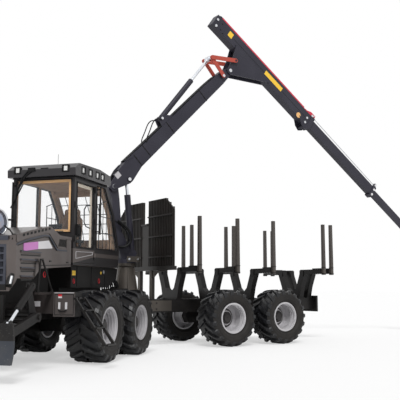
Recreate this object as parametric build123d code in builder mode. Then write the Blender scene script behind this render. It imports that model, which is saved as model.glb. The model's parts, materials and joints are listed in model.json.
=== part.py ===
from build123d import *
import os
from math import cos, radians, sin

os.makedirs("parts", exist_ok=True)

# Driving sizes, in millimetres and degrees.
# Both frames are drawn from their own bogie: x forward, y to the machine's left, z up from the ground.
wheel_radius = 670
tyre_width = 700
rim_radius = 337
bogie_spacing = 1600
wheel_track = 2140
frame_bottom = 800
frame_top = 1110
frame_half_width = 330
beam_width = 100
rear_pivot_reach = 3470
front_pivot_reach = 2040
steer_at_rest = 39.4
steer_limit = 44.0
pin_clearance = 0.05
seat_gap = 0.3
side_gap = 6
wheel_y = wheel_track / 2
wheel_inner = wheel_y - tyre_width / 2
wheel_outer = wheel_y + tyre_width / 2


def block(x, y, z, mode=Mode.ADD):
    # a box between the low and high value along each axis
    with Locations(((x[0] + x[1]) / 2, (y[0] + y[1]) / 2, (z[0] + z[1]) / 2)):
        Box(x[1] - x[0], y[1] - y[0], z[1] - z[0], mode=mode)


def slab(plane, points, thickness, mode=Mode.ADD):
    # a flat plate of the given outline, raised from its plane
    with BuildSketch(plane) as outline:
        with BuildLine():
            Polyline(*points, close=True)
        make_face()
    extrude(outline.sketch, amount=thickness, mode=mode)


def rod(start, end, radius, mode=Mode.ADD):
    # a round bar, or a bore, between two points
    line = Vector(*end) - Vector(*start)
    with BuildSketch(Plane(origin=start, z_dir=line)) as section:
        Circle(radius)
    extrude(section.sketch, amount=line.length, mode=mode)


def turned(axis, points, mode=Mode.ADD):
    # a solid of revolution from (radius, distance along the axis) points
    across = Vector(0, 0, 1) if abs(axis.direction.Z) < 0.5 else Vector(1, 0, 0)
    plane = Plane(origin=axis.position, x_dir=across, z_dir=across.cross(axis.direction))
    with BuildSketch(plane) as profile:
        with BuildLine():
            Polyline(*points, close=True)
        make_face()
    revolve(profile.sketch, axis=axis, mode=mode)


def from_side(y):
    # the plane at y, drawn in x and z, whose plates grow towards the machine's right
    return Plane.XZ.offset(-y)


def from_rear(x):
    # the plane at x, drawn in y and z, whose plates grow forwards
    return Plane.YZ.offset(x)


def arm_plane(pin, elevation):
    # an arm's own plane: x along the arm, which points to the rear, y square to it, pin at the origin
    rise = radians(elevation)
    return Plane(origin=(pin[0], 0, pin[1]), x_dir=(-cos(rise), 0, sin(rise)), z_dir=(0, 1, 0))


def spot(plane, u, v, y=0.0):
    # a point of an arm's plane as x, y and z
    return tuple(plane.from_local_coords((u, v, y)))


def bar_plane(start, end):
    # a cylinder's own plane, with x from its first pin to its second, in the crane's side view
    line = Vector(end[0] - start[0], 0, end[1] - start[1])
    return Plane(origin=(start[0], 0, start[1]), x_dir=line, z_dir=(0, 1, 0))


pieces = []


def finish(builder, label, place=Location()):
    # the piece is put where it belongs and kept until the whole is centred
    solid = builder.part.moved(place)
    solid.label = label
    pieces.append(solid)


front_place = Location((rear_pivot_reach, 0, 0), (0, 0, steer_at_rest))
rear_place = Location()


# Wheels and bogies
axle_half = 440
bogie_wall = 200
bogie_drop = 170
bogie_crown = 230
axle_height = 150
axle_length = 320
stub_radius = 60
stub_reach = 300
hub_radius = 205
hub_gap = 8
rim_half = 300
rim_wall = 14
flange_rise = 20
flange_width = 17
disc_wall = 24
lug_count = 13
lug_depth = 45
# a lug's corners: share of the pitch, and 0 for its foot or 1 for its top
lug_corners = [(0.0, 0), (0.12, 1), (0.44, 1), (0.56, 0)]
lug_middle = 0.28
tread_sweep = 17
shoulder_width = 600
shoulder_drop = 8
shoulder_depth = 50
bead_width = 540
sidewall_radius = 545
sidewall_depth = 15


def bogie(centre_x):
    # two gear cases, each with a stub for its two wheels, joined by the axle
    for side in (1, -1):
        inner = side * axle_half
        outer = side * (axle_half + bogie_wall)
        reach = bogie_spacing / 2
        low, high = wheel_radius - bogie_drop, wheel_radius + bogie_drop
        case = [
            (centre_x - reach - bogie_drop, wheel_radius), (centre_x - reach - bogie_drop / 2, low),
            (centre_x + reach + bogie_drop / 2, low), (centre_x + reach + bogie_drop, wheel_radius),
            (centre_x + reach + bogie_drop / 2, high), (centre_x, wheel_radius + bogie_crown),
            (centre_x - reach - bogie_drop / 2, high),
        ]
        slab(from_side(max(inner, outer)), case, bogie_wall)
        for wheel_x in (centre_x - reach, centre_x + reach):
            rod((wheel_x, outer, wheel_radius),
                (wheel_x, outer + side * stub_reach, wheel_radius), stub_radius)
    block((centre_x - axle_length / 2, centre_x + axle_length / 2), (-axle_half, axle_half),
          (wheel_radius - axle_height, frame_bottom))


with BuildPart() as rear_bogies:
    bogie(0)
finish(rear_bogies, "rear_bogies")

with BuildPart() as front_bogies:
    bogie(front_pivot_reach)
finish(front_bogies, "front_bogies", front_place)


def tyre_ring(centre, y, top, foot, turn):
    # the tyre's outline at one place across it: a flat top for each lug and a groove after it
    points = []
    for lug in range(lug_count):
        for share, height in lug_corners:
            angle = radians(turn - 90 + (lug + share - lug_middle) * 360 / lug_count)
            radius = foot + height * (top - foot)
            points.append((centre[0] + radius * cos(angle), centre[1] + y, centre[2] + radius * sin(angle)))
    return points


def bore_ring(centre, y):
    # the tyre's inner edge, with as many corners as its outline
    points = []
    corners = lug_count * len(lug_corners)
    bore_radius = (rim_radius + seat_gap) / cos(radians(180 / corners))
    for corner in range(corners):
        angle = radians(tread_sweep - 90 - lug_middle * 360 / lug_count + corner * 360 / corners)
        x = centre[0] + bore_radius * cos(angle)
        points.append((x, centre[1] + y, centre[2] + bore_radius * sin(angle)))
    return points


def skin(rings):
    # a closed solid of flat triangles between each ring and the next
    faces = []
    for near, far in zip(rings, rings[1:] + rings[:1]):
        for corner in range(len(near)):
            after = (corner + 1) % len(near)
            faces.append(Face(Wire.make_polygon([near[corner], near[after], far[after]])))
            faces.append(Face(Wire.make_polygon([near[corner], far[after], far[corner]])))
    return Solid(Shell(faces))


# Each wheel: name, frame's place, x of its bogie's centre, place along the bogie, side, depth of its disc
wheels = [
    ("front_left_1", front_place, front_pivot_reach, 1, 1, 60),
    ("front_left_2", front_place, front_pivot_reach, -1, 1, 60),
    ("front_right_1", front_place, front_pivot_reach, 1, -1, 60),
    ("front_right_2", front_place, front_pivot_reach, -1, -1, 60),
    ("rear_left_1", rear_place, 0, 1, 1, -90),
    ("rear_left_2", rear_place, 0, -1, 1, -90),
    ("rear_right_1", rear_place, 0, 1, -1, -90),
    ("rear_right_2", rear_place, 0, -1, -1, -90),
]
wheel_centres = {}
for name, place, bogie_x, step, side, disc_at in wheels:
    centre = (bogie_x + step * bogie_spacing / 2, side * wheel_y, wheel_radius)
    wheel_centres[name] = centre
    axle = Axis(centre, (0, side, 0))
    shoulder = (wheel_radius - shoulder_drop, wheel_radius - shoulder_drop - shoulder_depth, tread_sweep)
    sidewall = (sidewall_radius, sidewall_radius - sidewall_depth, tread_sweep)
    with BuildPart() as tyre:
        add(skin([
            bore_ring(centre, -bead_width / 2),
            tyre_ring(centre, -tyre_width / 2, *sidewall),
            tyre_ring(centre, -shoulder_width / 2, *shoulder),
            tyre_ring(centre, 0, wheel_radius, wheel_radius - lug_depth, 0),
            tyre_ring(centre, shoulder_width / 2, *shoulder),
            tyre_ring(centre, tyre_width / 2, *sidewall),
            bore_ring(centre, bead_width / 2),
        ]))
    finish(tyre, f"tyre_{name}", place)
    case_face = axle_half + bogie_wall - wheel_y
    stub_end = case_face + stub_reach + hub_gap
    stub_bore = stub_radius + pin_clearance
    inner = rim_radius - rim_wall
    flange = rim_radius + flange_rise
    with BuildPart() as rim:
        turned(axle, [
            (inner, -rim_half), (flange, -rim_half), (flange, -rim_half + flange_width),
            (rim_radius, -rim_half + flange_width), (rim_radius, rim_half - flange_width),
            (flange, rim_half - flange_width), (flange, rim_half), (inner, rim_half),
            (inner, disc_at + disc_wall),
            (hub_radius, disc_at + disc_wall), (hub_radius - 40, disc_at + 90), (0, disc_at + 90),
            (0, stub_end),
            (stub_bore, stub_end), (stub_bore, case_face + hub_gap), (hub_radius, case_face + hub_gap),
            (hub_radius, disc_at), (inner, disc_at),
        ])
    finish(rim, f"rim_{name}", place)


# Rear frame, with its half of the articulation
rear_end = -2700
fork_wall = 80
fork_radius = 170
pivot_radius = 70
fork_levels = (frame_bottom, frame_top - fork_wall)
steer_pin_x = rear_pivot_reach - 700
steer_pin_y = 260
steer_level = 700
steer_lug = 70
hitch_reach = 130
hitch_radius = 25
hitch_wall = 40
crane_x = rear_pivot_reach - 520
with BuildPart() as rear_chassis:
    for side in (1, -1):
        outer = side * frame_half_width
        inner = outer - side * beam_width
        block((rear_end, crane_x + 150), (min(inner, outer), max(inner, outer)), (frame_bottom, frame_top))
        rod((steer_pin_x, side * steer_pin_y, steer_level - steer_lug),
            (steer_pin_x, side * steer_pin_y, frame_bottom), 30)
    for cross_x in (rear_end, -1500, -700, 700, 1500):
        block((cross_x, cross_x + 120), (-frame_half_width, frame_half_width),
              (frame_bottom + 40, frame_top - 40))
    block((crane_x - 450, crane_x + 150), (-frame_half_width, frame_half_width), (frame_bottom, frame_top))
    for level in fork_levels:
        slab(Plane.XY.offset(level), [
            (crane_x + 140, -frame_half_width + 60), (crane_x + 140, frame_half_width - 60),
            (rear_pivot_reach, fork_radius), (rear_pivot_reach, -fork_radius),
        ], fork_wall)
        with Locations((rear_pivot_reach, 0, level + fork_wall / 2)):
            Cylinder(fork_radius, fork_wall)
            Cylinder(pivot_radius + pin_clearance, fork_wall, mode=Mode.SUBTRACT)
    block((rear_end - 60, rear_end), (-480, 480), (frame_bottom - 60, frame_top + 60))
    for side in (1, -1):
        block((rear_end - 90, rear_end - 60), (side * 390 - 60, side * 390 + 60),
              (frame_top - 60, frame_top + 20))
    block((rear_end - 180, rear_end - 20), (-80, 80), (frame_bottom - hitch_wall, frame_bottom))
    with Locations((rear_end - hitch_reach, 0, frame_bottom - hitch_wall / 2)):
        Cylinder(hitch_radius, hitch_wall, mode=Mode.SUBTRACT)
finish(rear_chassis, "rear_chassis")

# Bunks stand on the rear frame, each a deep U with level outriggers, here from their middle outwards
bunk_wall = 140
bunk_floor = 1290
bunk_arm_top = 1870
bunk_end = 1165
bunk_half = [
    (0, frame_top), (frame_half_width, frame_top), (400, 1400), (540, 1745), (bunk_end, 1760),
    (bunk_end, bunk_arm_top), (370, bunk_arm_top), (320, 1700), (190, 1380), (80, bunk_floor),
    (0, bunk_floor),
]
bunk_places = [1660, 550, -580, -2300, -2580]
stake_foot = 1720
stake_head = 3050
stake_size = 82
stake_tip = 72
sleeve_wall = 18
sleeve_rise = 25
sleeve_length = 300
# Stakes on the outriggers: place along the frame, distance from the middle, left or right
inner_stakes = [(550, 800, -1), (-580, 800, -1), (-580, 450, -1)]
with BuildPart() as bunks:
    for place_x in bunk_places:
        outline = bunk_half + [(-y, z) for y, z in reversed(bunk_half[1:-1])]
        slab(from_rear(place_x - bunk_wall / 2), outline, bunk_wall)
        for side in (1, -1):
            middle = side * (bunk_end - sleeve_length / 2)
            block((place_x - bunk_wall / 2 - sleeve_wall, place_x + bunk_wall / 2 + sleeve_wall),
                  (middle - sleeve_length / 2, middle + sleeve_length / 2),
                  (1750, bunk_arm_top + sleeve_rise))
            block((place_x - bunk_wall / 2 - sleeve_wall, place_x + bunk_wall / 2 + sleeve_wall),
                  (side * 430 - 70, side * 430 + 70), (1700, bunk_arm_top - 20))
finish(bunks, "bunks")


def stake(x, y, foot):
    # a post that tapers to its head
    with BuildSketch(Plane.XY.offset(foot)) as base:
        with Locations((x, y)):
            Rectangle(stake_size, stake_size)
    with BuildSketch(Plane.XY.offset(stake_head)) as head:
        with Locations((x, y)):
            Rectangle(stake_tip, stake_tip)
    loft([base.sketch.face(), head.sketch.face()])


with BuildPart() as stakes:
    for place_x in bunk_places:
        for side in (1, -1):
            if (place_x, side) != (-580, -1):
                stake(place_x, side * (bunk_end + stake_size / 2), stake_foot)
    for place_x, reach, side in inner_stakes:
        stake(place_x, side * reach, bunk_arm_top + seat_gap)
finish(stakes, "stakes")

# Headboard: two ribbed towers with a slot between them, on two posts
board_x = crane_x - 550
board_wall = 30
board_bottom = 1870
board_top = 3450
board_half = 1300
slot_half = 150
slot_floor = 2900
chamfer_width = 360
chamfer_drop = 290
rib_size = 50
rib_pitch = 145
board_rails = (2080, 2560, 3040)
post_y = 280
with BuildPart() as headboard:
    for side in (1, -1):
        tower = [
            (side * slot_half, board_bottom), (side * board_half, board_bottom),
            (side * board_half, board_top - chamfer_drop), (side * (board_half - chamfer_width), board_top),
            (side * slot_half, board_top),
        ]
        slab(from_rear(board_x), tower, board_wall)
        for count in range(8):
            rib_y = side * (slot_half + rib_size / 2 + count * rib_pitch)
            over = max(0, abs(rib_y) + rib_size / 2 - (board_half - chamfer_width))
            top = board_top - over * chamfer_drop / chamfer_width
            block((board_x - rib_size, board_x), (rib_y - rib_size / 2, rib_y + rib_size / 2),
                  (board_bottom, top))
        block((board_x - 50, board_x + board_wall), (side * post_y - 50, side * post_y + 50),
              (frame_top, board_bottom))
    block((board_x, board_x + board_wall), (-slot_half, slot_half), (board_bottom, slot_floor))
    block((board_x - rib_size, board_x + board_wall + 20), (-board_half, board_half),
          (board_bottom - 90, board_bottom))
    for level in board_rails:
        block((board_x + board_wall, board_x + board_wall + 30), (-board_half + 30, -slot_half),
              (level, level + 30))
        block((board_x + board_wall, board_x + board_wall + 30), (slot_half, board_half - 30),
              (level, level + 30))
finish(headboard, "headboard")


# Crane, drawn in its own side view as it points to the rear
crane_base_top = 1950
slew_radius = 230
spigot_radius = 90
spigot_rise = 60
foot_pin = (crane_x + 420, 3740)
lift_foot = (crane_x - 150, 2190)
boom_rise = 45.0
boom_length = 4836
lift_eye = (424, -141)
tilt_foot = (boom_length - 2596, 350)
tilt_eye = (boom_length - 268, 608)
link_foot = (boom_length - 304, 35)
stick_link_eye = (boom_length + 312, 99)
stick_rise = -35.0
boom = arm_plane(foot_pin, boom_rise)
knee = spot(boom, boom_length, 0)
stick = arm_plane((knee[0], knee[2]), stick_rise)
pin_radius = 45
with BuildPart() as crane_base:
    turned(Axis((crane_x, 0, 0), (0, 0, 1)), [
        (0, frame_top), (320, frame_top), (320, frame_top + 120), (260, frame_top + 170),
        (190, crane_base_top - 90), (slew_radius, crane_base_top - 60), (slew_radius, crane_base_top),
        (spigot_radius, crane_base_top), (spigot_radius, crane_base_top + spigot_rise),
        (0, crane_base_top + spigot_rise),
    ])
finish(crane_base, "crane_base")

head_half = 110
lug_half = 82
lug_wall = 30
with BuildPart() as pillar:
    turned(Axis((crane_x, 0, 0), (0, 0, 1)), [
        (spigot_radius + pin_clearance, crane_base_top + seat_gap), (slew_radius, crane_base_top + seat_gap),
        (slew_radius, crane_base_top + 90), (0, crane_base_top + 90), (0, crane_base_top + spigot_rise + 10),
        (spigot_radius + pin_clearance, crane_base_top + spigot_rise + 10),
    ])
    slab(from_side(head_half), [
        (crane_x - 50, crane_base_top + 80), (crane_x + 170, crane_base_top + 80),
        (crane_x + 380, crane_base_top + 750),
        (foot_pin[0] + 25, foot_pin[1] - 280), (foot_pin[0] + 110, foot_pin[1] - 90),
        (foot_pin[0] + 120, foot_pin[1]),
        (foot_pin[0] + 70, foot_pin[1] + 110), (foot_pin[0] - 70, foot_pin[1] + 110),
        (foot_pin[0] - 130, foot_pin[1]),
        (foot_pin[0] - 170, foot_pin[1] - 280), (crane_x + 180, crane_base_top + 750),
        (crane_x - 50, crane_base_top + 330),
    ], 2 * head_half)
    for side in (1, -1):
        edge = side * lug_half + (lug_wall if side > 0 else 0)
        slab(from_side(edge), [
            (lift_foot[0] - 80, lift_foot[1]), (lift_foot[0] - 40, lift_foot[1] - 80),
            (crane_x - 40, crane_base_top + 80),
            (crane_x + 10, crane_base_top + 350), (lift_foot[0] + 40, lift_foot[1] + 70),
            (lift_foot[0] - 40, lift_foot[1] + 70),
        ], lug_wall)
    rod((lift_foot[0], -lug_half - lug_wall, lift_foot[1]),
        (lift_foot[0], lug_half + lug_wall, lift_foot[1]), 35)
    rod((foot_pin[0], -190, foot_pin[1]), (foot_pin[0], 190, foot_pin[1]), pin_radius)
finish(pillar, "pillar")

boom_half = 115
box_start = 580
cheek_inner = 122
cheek_wall = 32
link_inner = 166
link_wall = 22
hump_inner = 78
hump_wall = 26
with BuildPart() as main_boom:
    slab(boom.offset(-boom_half), [
        (box_start, -120), (900, -150), (boom_length - 420, -130), (boom_length + 60, -90),
        (boom_length + 95, 0),
        (boom_length + 60, 85), (boom_length - 200, 150), (boom_length - 900, 190), (1500, 210), (700, 240),
        (box_start, 200),
    ], 2 * boom_half)
    slab(boom.offset(-cheek_inner), [
        (260, 110), (box_start + 20, 140), (box_start + 20, 200), (260, 160),
    ], 2 * cheek_inner)
    for side in (1, -1):
        low = cheek_inner if side > 0 else -cheek_inner - cheek_wall
        slab(boom.offset(low), [
            (-110, -60), (-60, -110), (60, -110), (lift_eye[0] - 40, -230), (lift_eye[0] + 60, -230),
            (900, -140), (900, 150), (box_start, 220), (400, 210), (60, 120), (-60, 110), (-110, 60),
        ], cheek_wall)
        low = boom_half if side > 0 else -cheek_inner
        slab(boom.offset(low), [
            (box_start, -100), (880, -100), (880, 130), (box_start, 130),
        ], cheek_inner - boom_half)
        near = side * (cheek_inner + cheek_wall)
        rod(spot(boom, *lift_eye, near), spot(boom, *lift_eye, near + side * 25), 50)
    for low in (-hump_inner - hump_wall, hump_inner):
        slab(boom.offset(low), [
            (tilt_foot[0] - 160, tilt_foot[1] - 160), (tilt_foot[0] - 90, tilt_foot[1] + 50),
            (tilt_foot[0] + 90, tilt_foot[1] + 50), (tilt_foot[0] + 320, tilt_foot[1] - 160),
        ], hump_wall)
    rod(spot(boom, *tilt_foot, -hump_inner - hump_wall), spot(boom, *tilt_foot, hump_inner + hump_wall), 35)
    pin_end = link_inner + link_wall + 2
    rod(spot(boom, *link_foot, -pin_end), spot(boom, *link_foot, pin_end), 35)
    knee_half = link_inner - side_gap
    rod(spot(boom, boom_length, 0, -knee_half), spot(boom, boom_length, 0, knee_half), pin_radius)
    rod(spot(boom, 0, 0, -200), spot(boom, 0, 0, 200), pin_radius + pin_clearance, Mode.SUBTRACT)
finish(main_boom, "main_boom")


def ram(body, start, end, barrel_length, radius, rod_radius, eye_half, foot_radius):
    # the barrel turns on its foot pin, and the rod slides in it and ends in an eye at its far pin
    line = bar_plane(start, end)
    length = ((end[0] - start[0]) ** 2 + (end[1] - start[1]) ** 2) ** 0.5
    if body == "barrel":
        rod(spot(line, 55, 0), spot(line, barrel_length, 0), radius)
        rod(spot(line, 0, 0, -eye_half), spot(line, 0, 0, eye_half), foot_radius + 35)
        bore = foot_radius + pin_clearance
        rod(spot(line, 0, 0, -eye_half), spot(line, 0, 0, eye_half), bore, Mode.SUBTRACT)
        rod(spot(line, 130, 0), spot(line, barrel_length, 0), rod_radius + pin_clearance, Mode.SUBTRACT)
    else:
        rod(spot(line, length - barrel_length + 60, 0), spot(line, length - 30, 0), rod_radius)
        rod(spot(line, length, 0, -eye_half), spot(line, length, 0, eye_half), foot_radius + 35)
    return length


lift_top = spot(boom, *lift_eye)
lift_end = (lift_top[0], lift_top[2])
lift_barrel_length = 1400
with BuildPart() as lift_barrel:
    lift_length = ram("barrel", lift_foot, lift_end, lift_barrel_length, 75, 40, 70, 35)
finish(lift_barrel, "lift_barrel")
with BuildPart() as lift_rod:
    ram("rod", lift_foot, lift_end, lift_barrel_length, 75, 40, 70, 35)
finish(lift_rod, "lift_rod")

tilt_bottom = spot(boom, *tilt_foot)
tilt_start = (tilt_bottom[0], tilt_bottom[2])
tilt_top = spot(boom, *tilt_eye)
tilt_end = (tilt_top[0], tilt_top[2])
tilt_barrel_length = 1470
with BuildPart() as tilt_barrel:
    tilt_length = ram("barrel", tilt_start, tilt_end, tilt_barrel_length, 70, 38, 68, 35)
finish(tilt_barrel, "tilt_barrel")
with BuildPart() as tilt_rod:
    ram("rod", tilt_start, tilt_end, tilt_barrel_length, 70, 38, 68, 35)
    rod((tilt_end[0], -link_inner + side_gap, tilt_end[1]),
        (tilt_end[0], link_inner - side_gap, tilt_end[1]), 32)
finish(tilt_rod, "tilt_rod")


def strap(start, end, inner, wall, half_width, bore_at_start):
    # a pair of round-ended link plates, one on each side, bored at the first pin
    line = bar_plane(start, end)
    length = ((end[0] - start[0]) ** 2 + (end[1] - start[1]) ** 2) ** 0.5
    for low in (inner, -inner - wall):
        slab(line.offset(low), [
            (0, -half_width), (length, -half_width), (length, half_width), (0, half_width),
        ], wall)
        rod(spot(line, 0, 0, low), spot(line, 0, 0, low + wall), half_width)
        rod(spot(line, length, 0, low), spot(line, length, 0, low + wall), half_width)
        bore = bore_at_start + pin_clearance
        rod(spot(line, 0, 0, low - 1), spot(line, 0, 0, low + wall + 1), bore, Mode.SUBTRACT)


link_start = spot(boom, *link_foot)
with BuildPart() as boom_link:
    strap((link_start[0], link_start[2]), tilt_end, link_inner, link_wall, 55, 35)
finish(boom_link, "boom_link")
stick_link_pin = spot(boom, *stick_link_eye)
outer_link = link_inner + link_wall + side_gap
with BuildPart() as stick_link:
    strap((stick_link_pin[0], stick_link_pin[2]), tilt_end, outer_link, link_wall, 55, 30)
finish(stick_link, "stick_link")

# Stick and telescope, in the stick's own plane from the knee pin
beam_middle = 840
stick_front = 3050
stick_length = 4200
stick_rear = stick_front - stick_length
stick_depth = 360
stick_half = 120
stick_wall = 14
extension_depth = 280
extension_half = 85
extension_wall = 12
extension_front = 6190
extension_grip = 750
extension_rear = stick_front - extension_grip
tip_depth = 200
tip_half = 55
tip_front = 8560
tip_grip = 690
tip_rear = extension_front - tip_grip
collar_length = 140


def tube_beam(rear, front, depth, half, wall):
    # a hollow square beam about the stick's middle line
    slab(stick.offset(-half), [
        (rear, beam_middle - depth / 2), (front, beam_middle - depth / 2),
        (front, beam_middle + depth / 2), (rear, beam_middle + depth / 2),
    ], 2 * half)
    slab(stick.offset(-half + wall), [
        (rear + wall, beam_middle - depth / 2 + wall), (front + 1, beam_middle - depth / 2 + wall),
        (front + 1, beam_middle + depth / 2 - wall), (rear + wall, beam_middle + depth / 2 - wall),
    ], 2 * (half - wall), Mode.SUBTRACT)


def collar(front, depth, half, inner_depth, inner_half, grow):
    # a stiff mouth with wear pads, which leaves the next beam its running gap
    slab(stick.offset(-half - grow), [
        (front - collar_length, beam_middle - depth / 2 - grow), (front, beam_middle - depth / 2 - grow),
        (front, beam_middle + depth / 2 + grow), (front - collar_length, beam_middle + depth / 2 + grow),
    ], 2 * (half + grow))
    low = beam_middle - inner_depth / 2 - seat_gap
    high = beam_middle + inner_depth / 2 + seat_gap
    slab(stick.offset(-inner_half - seat_gap), [
        (front - collar_length - 1, low), (front + 1, low), (front + 1, high),
        (front - collar_length - 1, high),
    ], 2 * (inner_half + seat_gap), Mode.SUBTRACT)


with BuildPart() as stick_beam:
    tube_beam(stick_rear, stick_front, stick_depth, stick_half, stick_wall)
    collar(stick_front, stick_depth, stick_half, extension_depth, extension_half, 12)
    low_edge = beam_middle - stick_depth / 2
    for side in (1, -1):
        low = cheek_inner if side > 0 else -cheek_inner - cheek_wall
        slab(stick.offset(low), [
            (-90, -50), (-40, -95), (50, -90), (1150, low_edge + 20), (1150, low_edge + 90),
            (-260, low_edge + 90),
            (-130, 330), (-90, 50),
        ], cheek_wall)
        low = stick_half if side > 0 else -cheek_inner
        slab(stick.offset(low), [
            (-200, low_edge + 20), (1100, low_edge + 20), (1100, low_edge + 80), (-200, low_edge + 80),
        ], cheek_inner - stick_half)
    pin_x, pin_z = stick_link_pin[0], stick_link_pin[2]
    pin_end = outer_link + link_wall + 10
    rod((pin_x, -pin_end, pin_z), (pin_x, pin_end, pin_z), 30)
    rod(spot(stick, 0, 0, -200), spot(stick, 0, 0, 200), pin_radius + pin_clearance, Mode.SUBTRACT)
    for low in (-stick_half - 14, stick_half):
        slab(stick.offset(low), [
            (stick_front - 520, low_edge + 60), (stick_front - 330, low_edge - 110),
            (stick_front - 170, low_edge - 160),
            (stick_front - 60, low_edge - 60), (stick_front - 10, low_edge + 60),
        ], 14)
    rod(spot(stick, stick_front - 200, low_edge - 90, -stick_half - 1),
        spot(stick, stick_front - 200, low_edge - 90, stick_half + 1), 40)
    high_edge = beam_middle + stick_depth / 2
    slab(stick.offset(-60), [
        (stick_front - 330, high_edge - 5), (stick_front + 10, high_edge - 5),
        (stick_front + 10, high_edge + 130),
        (stick_front - 60, high_edge + 150), (stick_front - 160, high_edge + 60),
    ], 120)
finish(stick_beam, "stick")

with BuildPart() as extension_1:
    tube_beam(extension_rear, extension_front, extension_depth, extension_half, extension_wall)
    collar(extension_front, extension_depth, extension_half, tip_depth, tip_half, 0)
finish(extension_1, "extension_1")

tip_pin_u = tip_front + 60
with BuildPart() as extension_2:
    slab(stick.offset(-tip_half), [
        (tip_rear, beam_middle - tip_depth / 2), (tip_front - 100, beam_middle - tip_depth / 2),
        (tip_front - 100, beam_middle + tip_depth / 2), (tip_rear, beam_middle + tip_depth / 2),
    ], 2 * tip_half)
    for low in (-tip_half, tip_half - 25):
        slab(stick.offset(low), [
            (tip_front - 110, beam_middle - tip_depth / 2), (tip_pin_u + 40, beam_middle - 70),
            (tip_pin_u + 60, beam_middle), (tip_pin_u + 30, beam_middle + 60),
            (tip_front - 110, beam_middle + tip_depth / 2),
        ], 25)
    rod(spot(stick, tip_pin_u, beam_middle, -tip_half), spot(stick, tip_pin_u, beam_middle, tip_half), 30)
finish(extension_2, "extension_2")

# Grapple, hanging from the tip by a link that swings both ways
tip_pin = spot(stick, tip_pin_u, beam_middle)
tip_x, tip_z = tip_pin[0], tip_pin[2]
link_drop = 230
link_half = 24
rotator_radius = 120
rotator_top = tip_z - link_drop - 80
rotator_bottom = rotator_top - 230
ear_inner = 46
ear_wall = 28
ear_half = 34
with BuildPart() as tip_link:
    slab(from_side(link_half), [
        (tip_x - 55, tip_z), (tip_x - 30, tip_z + 48), (tip_x + 30, tip_z + 48), (tip_x + 55, tip_z),
        (tip_x + 45, tip_z - link_drop + 60), (tip_x - 45, tip_z - link_drop + 60),
    ], 2 * link_half)
    block((tip_x - 40, tip_x + 40), (-50, 50), (tip_z - link_drop - 50, tip_z - link_drop + 65))
    rod((tip_x, -60, tip_z), (tip_x, 60, tip_z), 30 + pin_clearance, Mode.SUBTRACT)
    rod((tip_x - 60, 0, tip_z - link_drop),
        (tip_x + 60, 0, tip_z - link_drop), 25 + pin_clearance, Mode.SUBTRACT)
finish(tip_link, "tip_link")
with BuildPart() as rotator:
    with Locations((tip_x, 0, (rotator_top + rotator_bottom) / 2)):
        Cylinder(rotator_radius, rotator_top - rotator_bottom)
    for low in (tip_x - ear_inner - ear_wall, tip_x + ear_inner):
        block((low, low + ear_wall), (-ear_half, ear_half), (rotator_top - 10, tip_z - link_drop))
        rod((low, 0, tip_z - link_drop), (low + ear_wall, 0, tip_z - link_drop), ear_half + 2)
    ear_outer = ear_inner + ear_wall
    rod((tip_x - ear_outer, 0, tip_z - link_drop), (tip_x + ear_outer, 0, tip_z - link_drop), 25)
    with Locations((tip_x, 0, rotator_bottom - 30)):
        Cylinder(50, 60)
finish(rotator, "rotator")
grab_top = rotator_bottom - seat_gap
grab_pin_z = grab_top - 260
grab_pin_y = 190
grab_half = 155
with BuildPart() as grapple_frame:
    with Locations((tip_x, 0, grab_top - 35)):
        Cylinder(rotator_radius, 70)
    for low in (tip_x - grab_half, tip_x + grab_half - 30):
        slab(from_rear(low), [
            (-110, grab_top - 45), (110, grab_top - 45), (grab_pin_y + 60, grab_pin_z + 40),
            (grab_pin_y + 50, grab_pin_z - 55),
            (-grab_pin_y - 50, grab_pin_z - 55), (-grab_pin_y - 60, grab_pin_z + 40),
        ], 30)
    block((tip_x - grab_half + 10, tip_x + grab_half - 10), (-105, 105), (grab_top - 100, grab_top - 50))
    for side in (1, -1):
        rod((tip_x - grab_half - 10, side * grab_pin_y, grab_pin_z),
            (tip_x + grab_half + 10, side * grab_pin_y, grab_pin_z), 30)
    rod((tip_x, 0, grab_top - 110), (tip_x, 0, grab_top + 10), 50 + pin_clearance, Mode.SUBTRACT)
finish(grapple_frame, "grapple_frame")
jaw_reach = 560
jaw_drop = 760
jaw_wall = 28
# Tine plates of a jaw: low x from the grapple's middle
jaw_plates = {"jaw_left": (-105, 77), "jaw_right": (-60, 32)}
for label, side in (("jaw_left", 1), ("jaw_right", -1)):
    with BuildPart() as jaw:
        for low in jaw_plates[label]:
            with BuildSketch(from_rear(tip_x + low)) as tine:
                with BuildLine():
                    outer = ThreePointArc(
                        (side * (grab_pin_y + 50), grab_pin_z + 45), (side * jaw_reach, grab_pin_z - 330),
                        (side * 12, grab_pin_z - jaw_drop))
                    Line(outer @ 1, (side * 12, grab_pin_z - jaw_drop + 60))
                    inner = ThreePointArc(
                        (side * 12, grab_pin_z - jaw_drop + 60), (side * (jaw_reach - 130), grab_pin_z - 340),
                        (side * (grab_pin_y - 60), grab_pin_z - 30))
                    Line(inner @ 1, (side * (grab_pin_y - 40), grab_pin_z + 45))
                    Line((side * (grab_pin_y - 40), grab_pin_z + 45), outer @ 0)
                make_face()
            extrude(tine.sketch, amount=jaw_wall)
        span = (tip_x + jaw_plates[label][0] + 5, tip_x + jaw_plates[label][1] + jaw_wall - 5)
        rod((span[0], side * (jaw_reach - 75), grab_pin_z - 330),
            (span[1], side * (jaw_reach - 75), grab_pin_z - 330), 45)
        rod((tip_x - grab_half, side * grab_pin_y, grab_pin_z),
            (tip_x + grab_half, side * grab_pin_y, grab_pin_z),
            30 + pin_clearance, Mode.SUBTRACT)
    finish(jaw, label)


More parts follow.
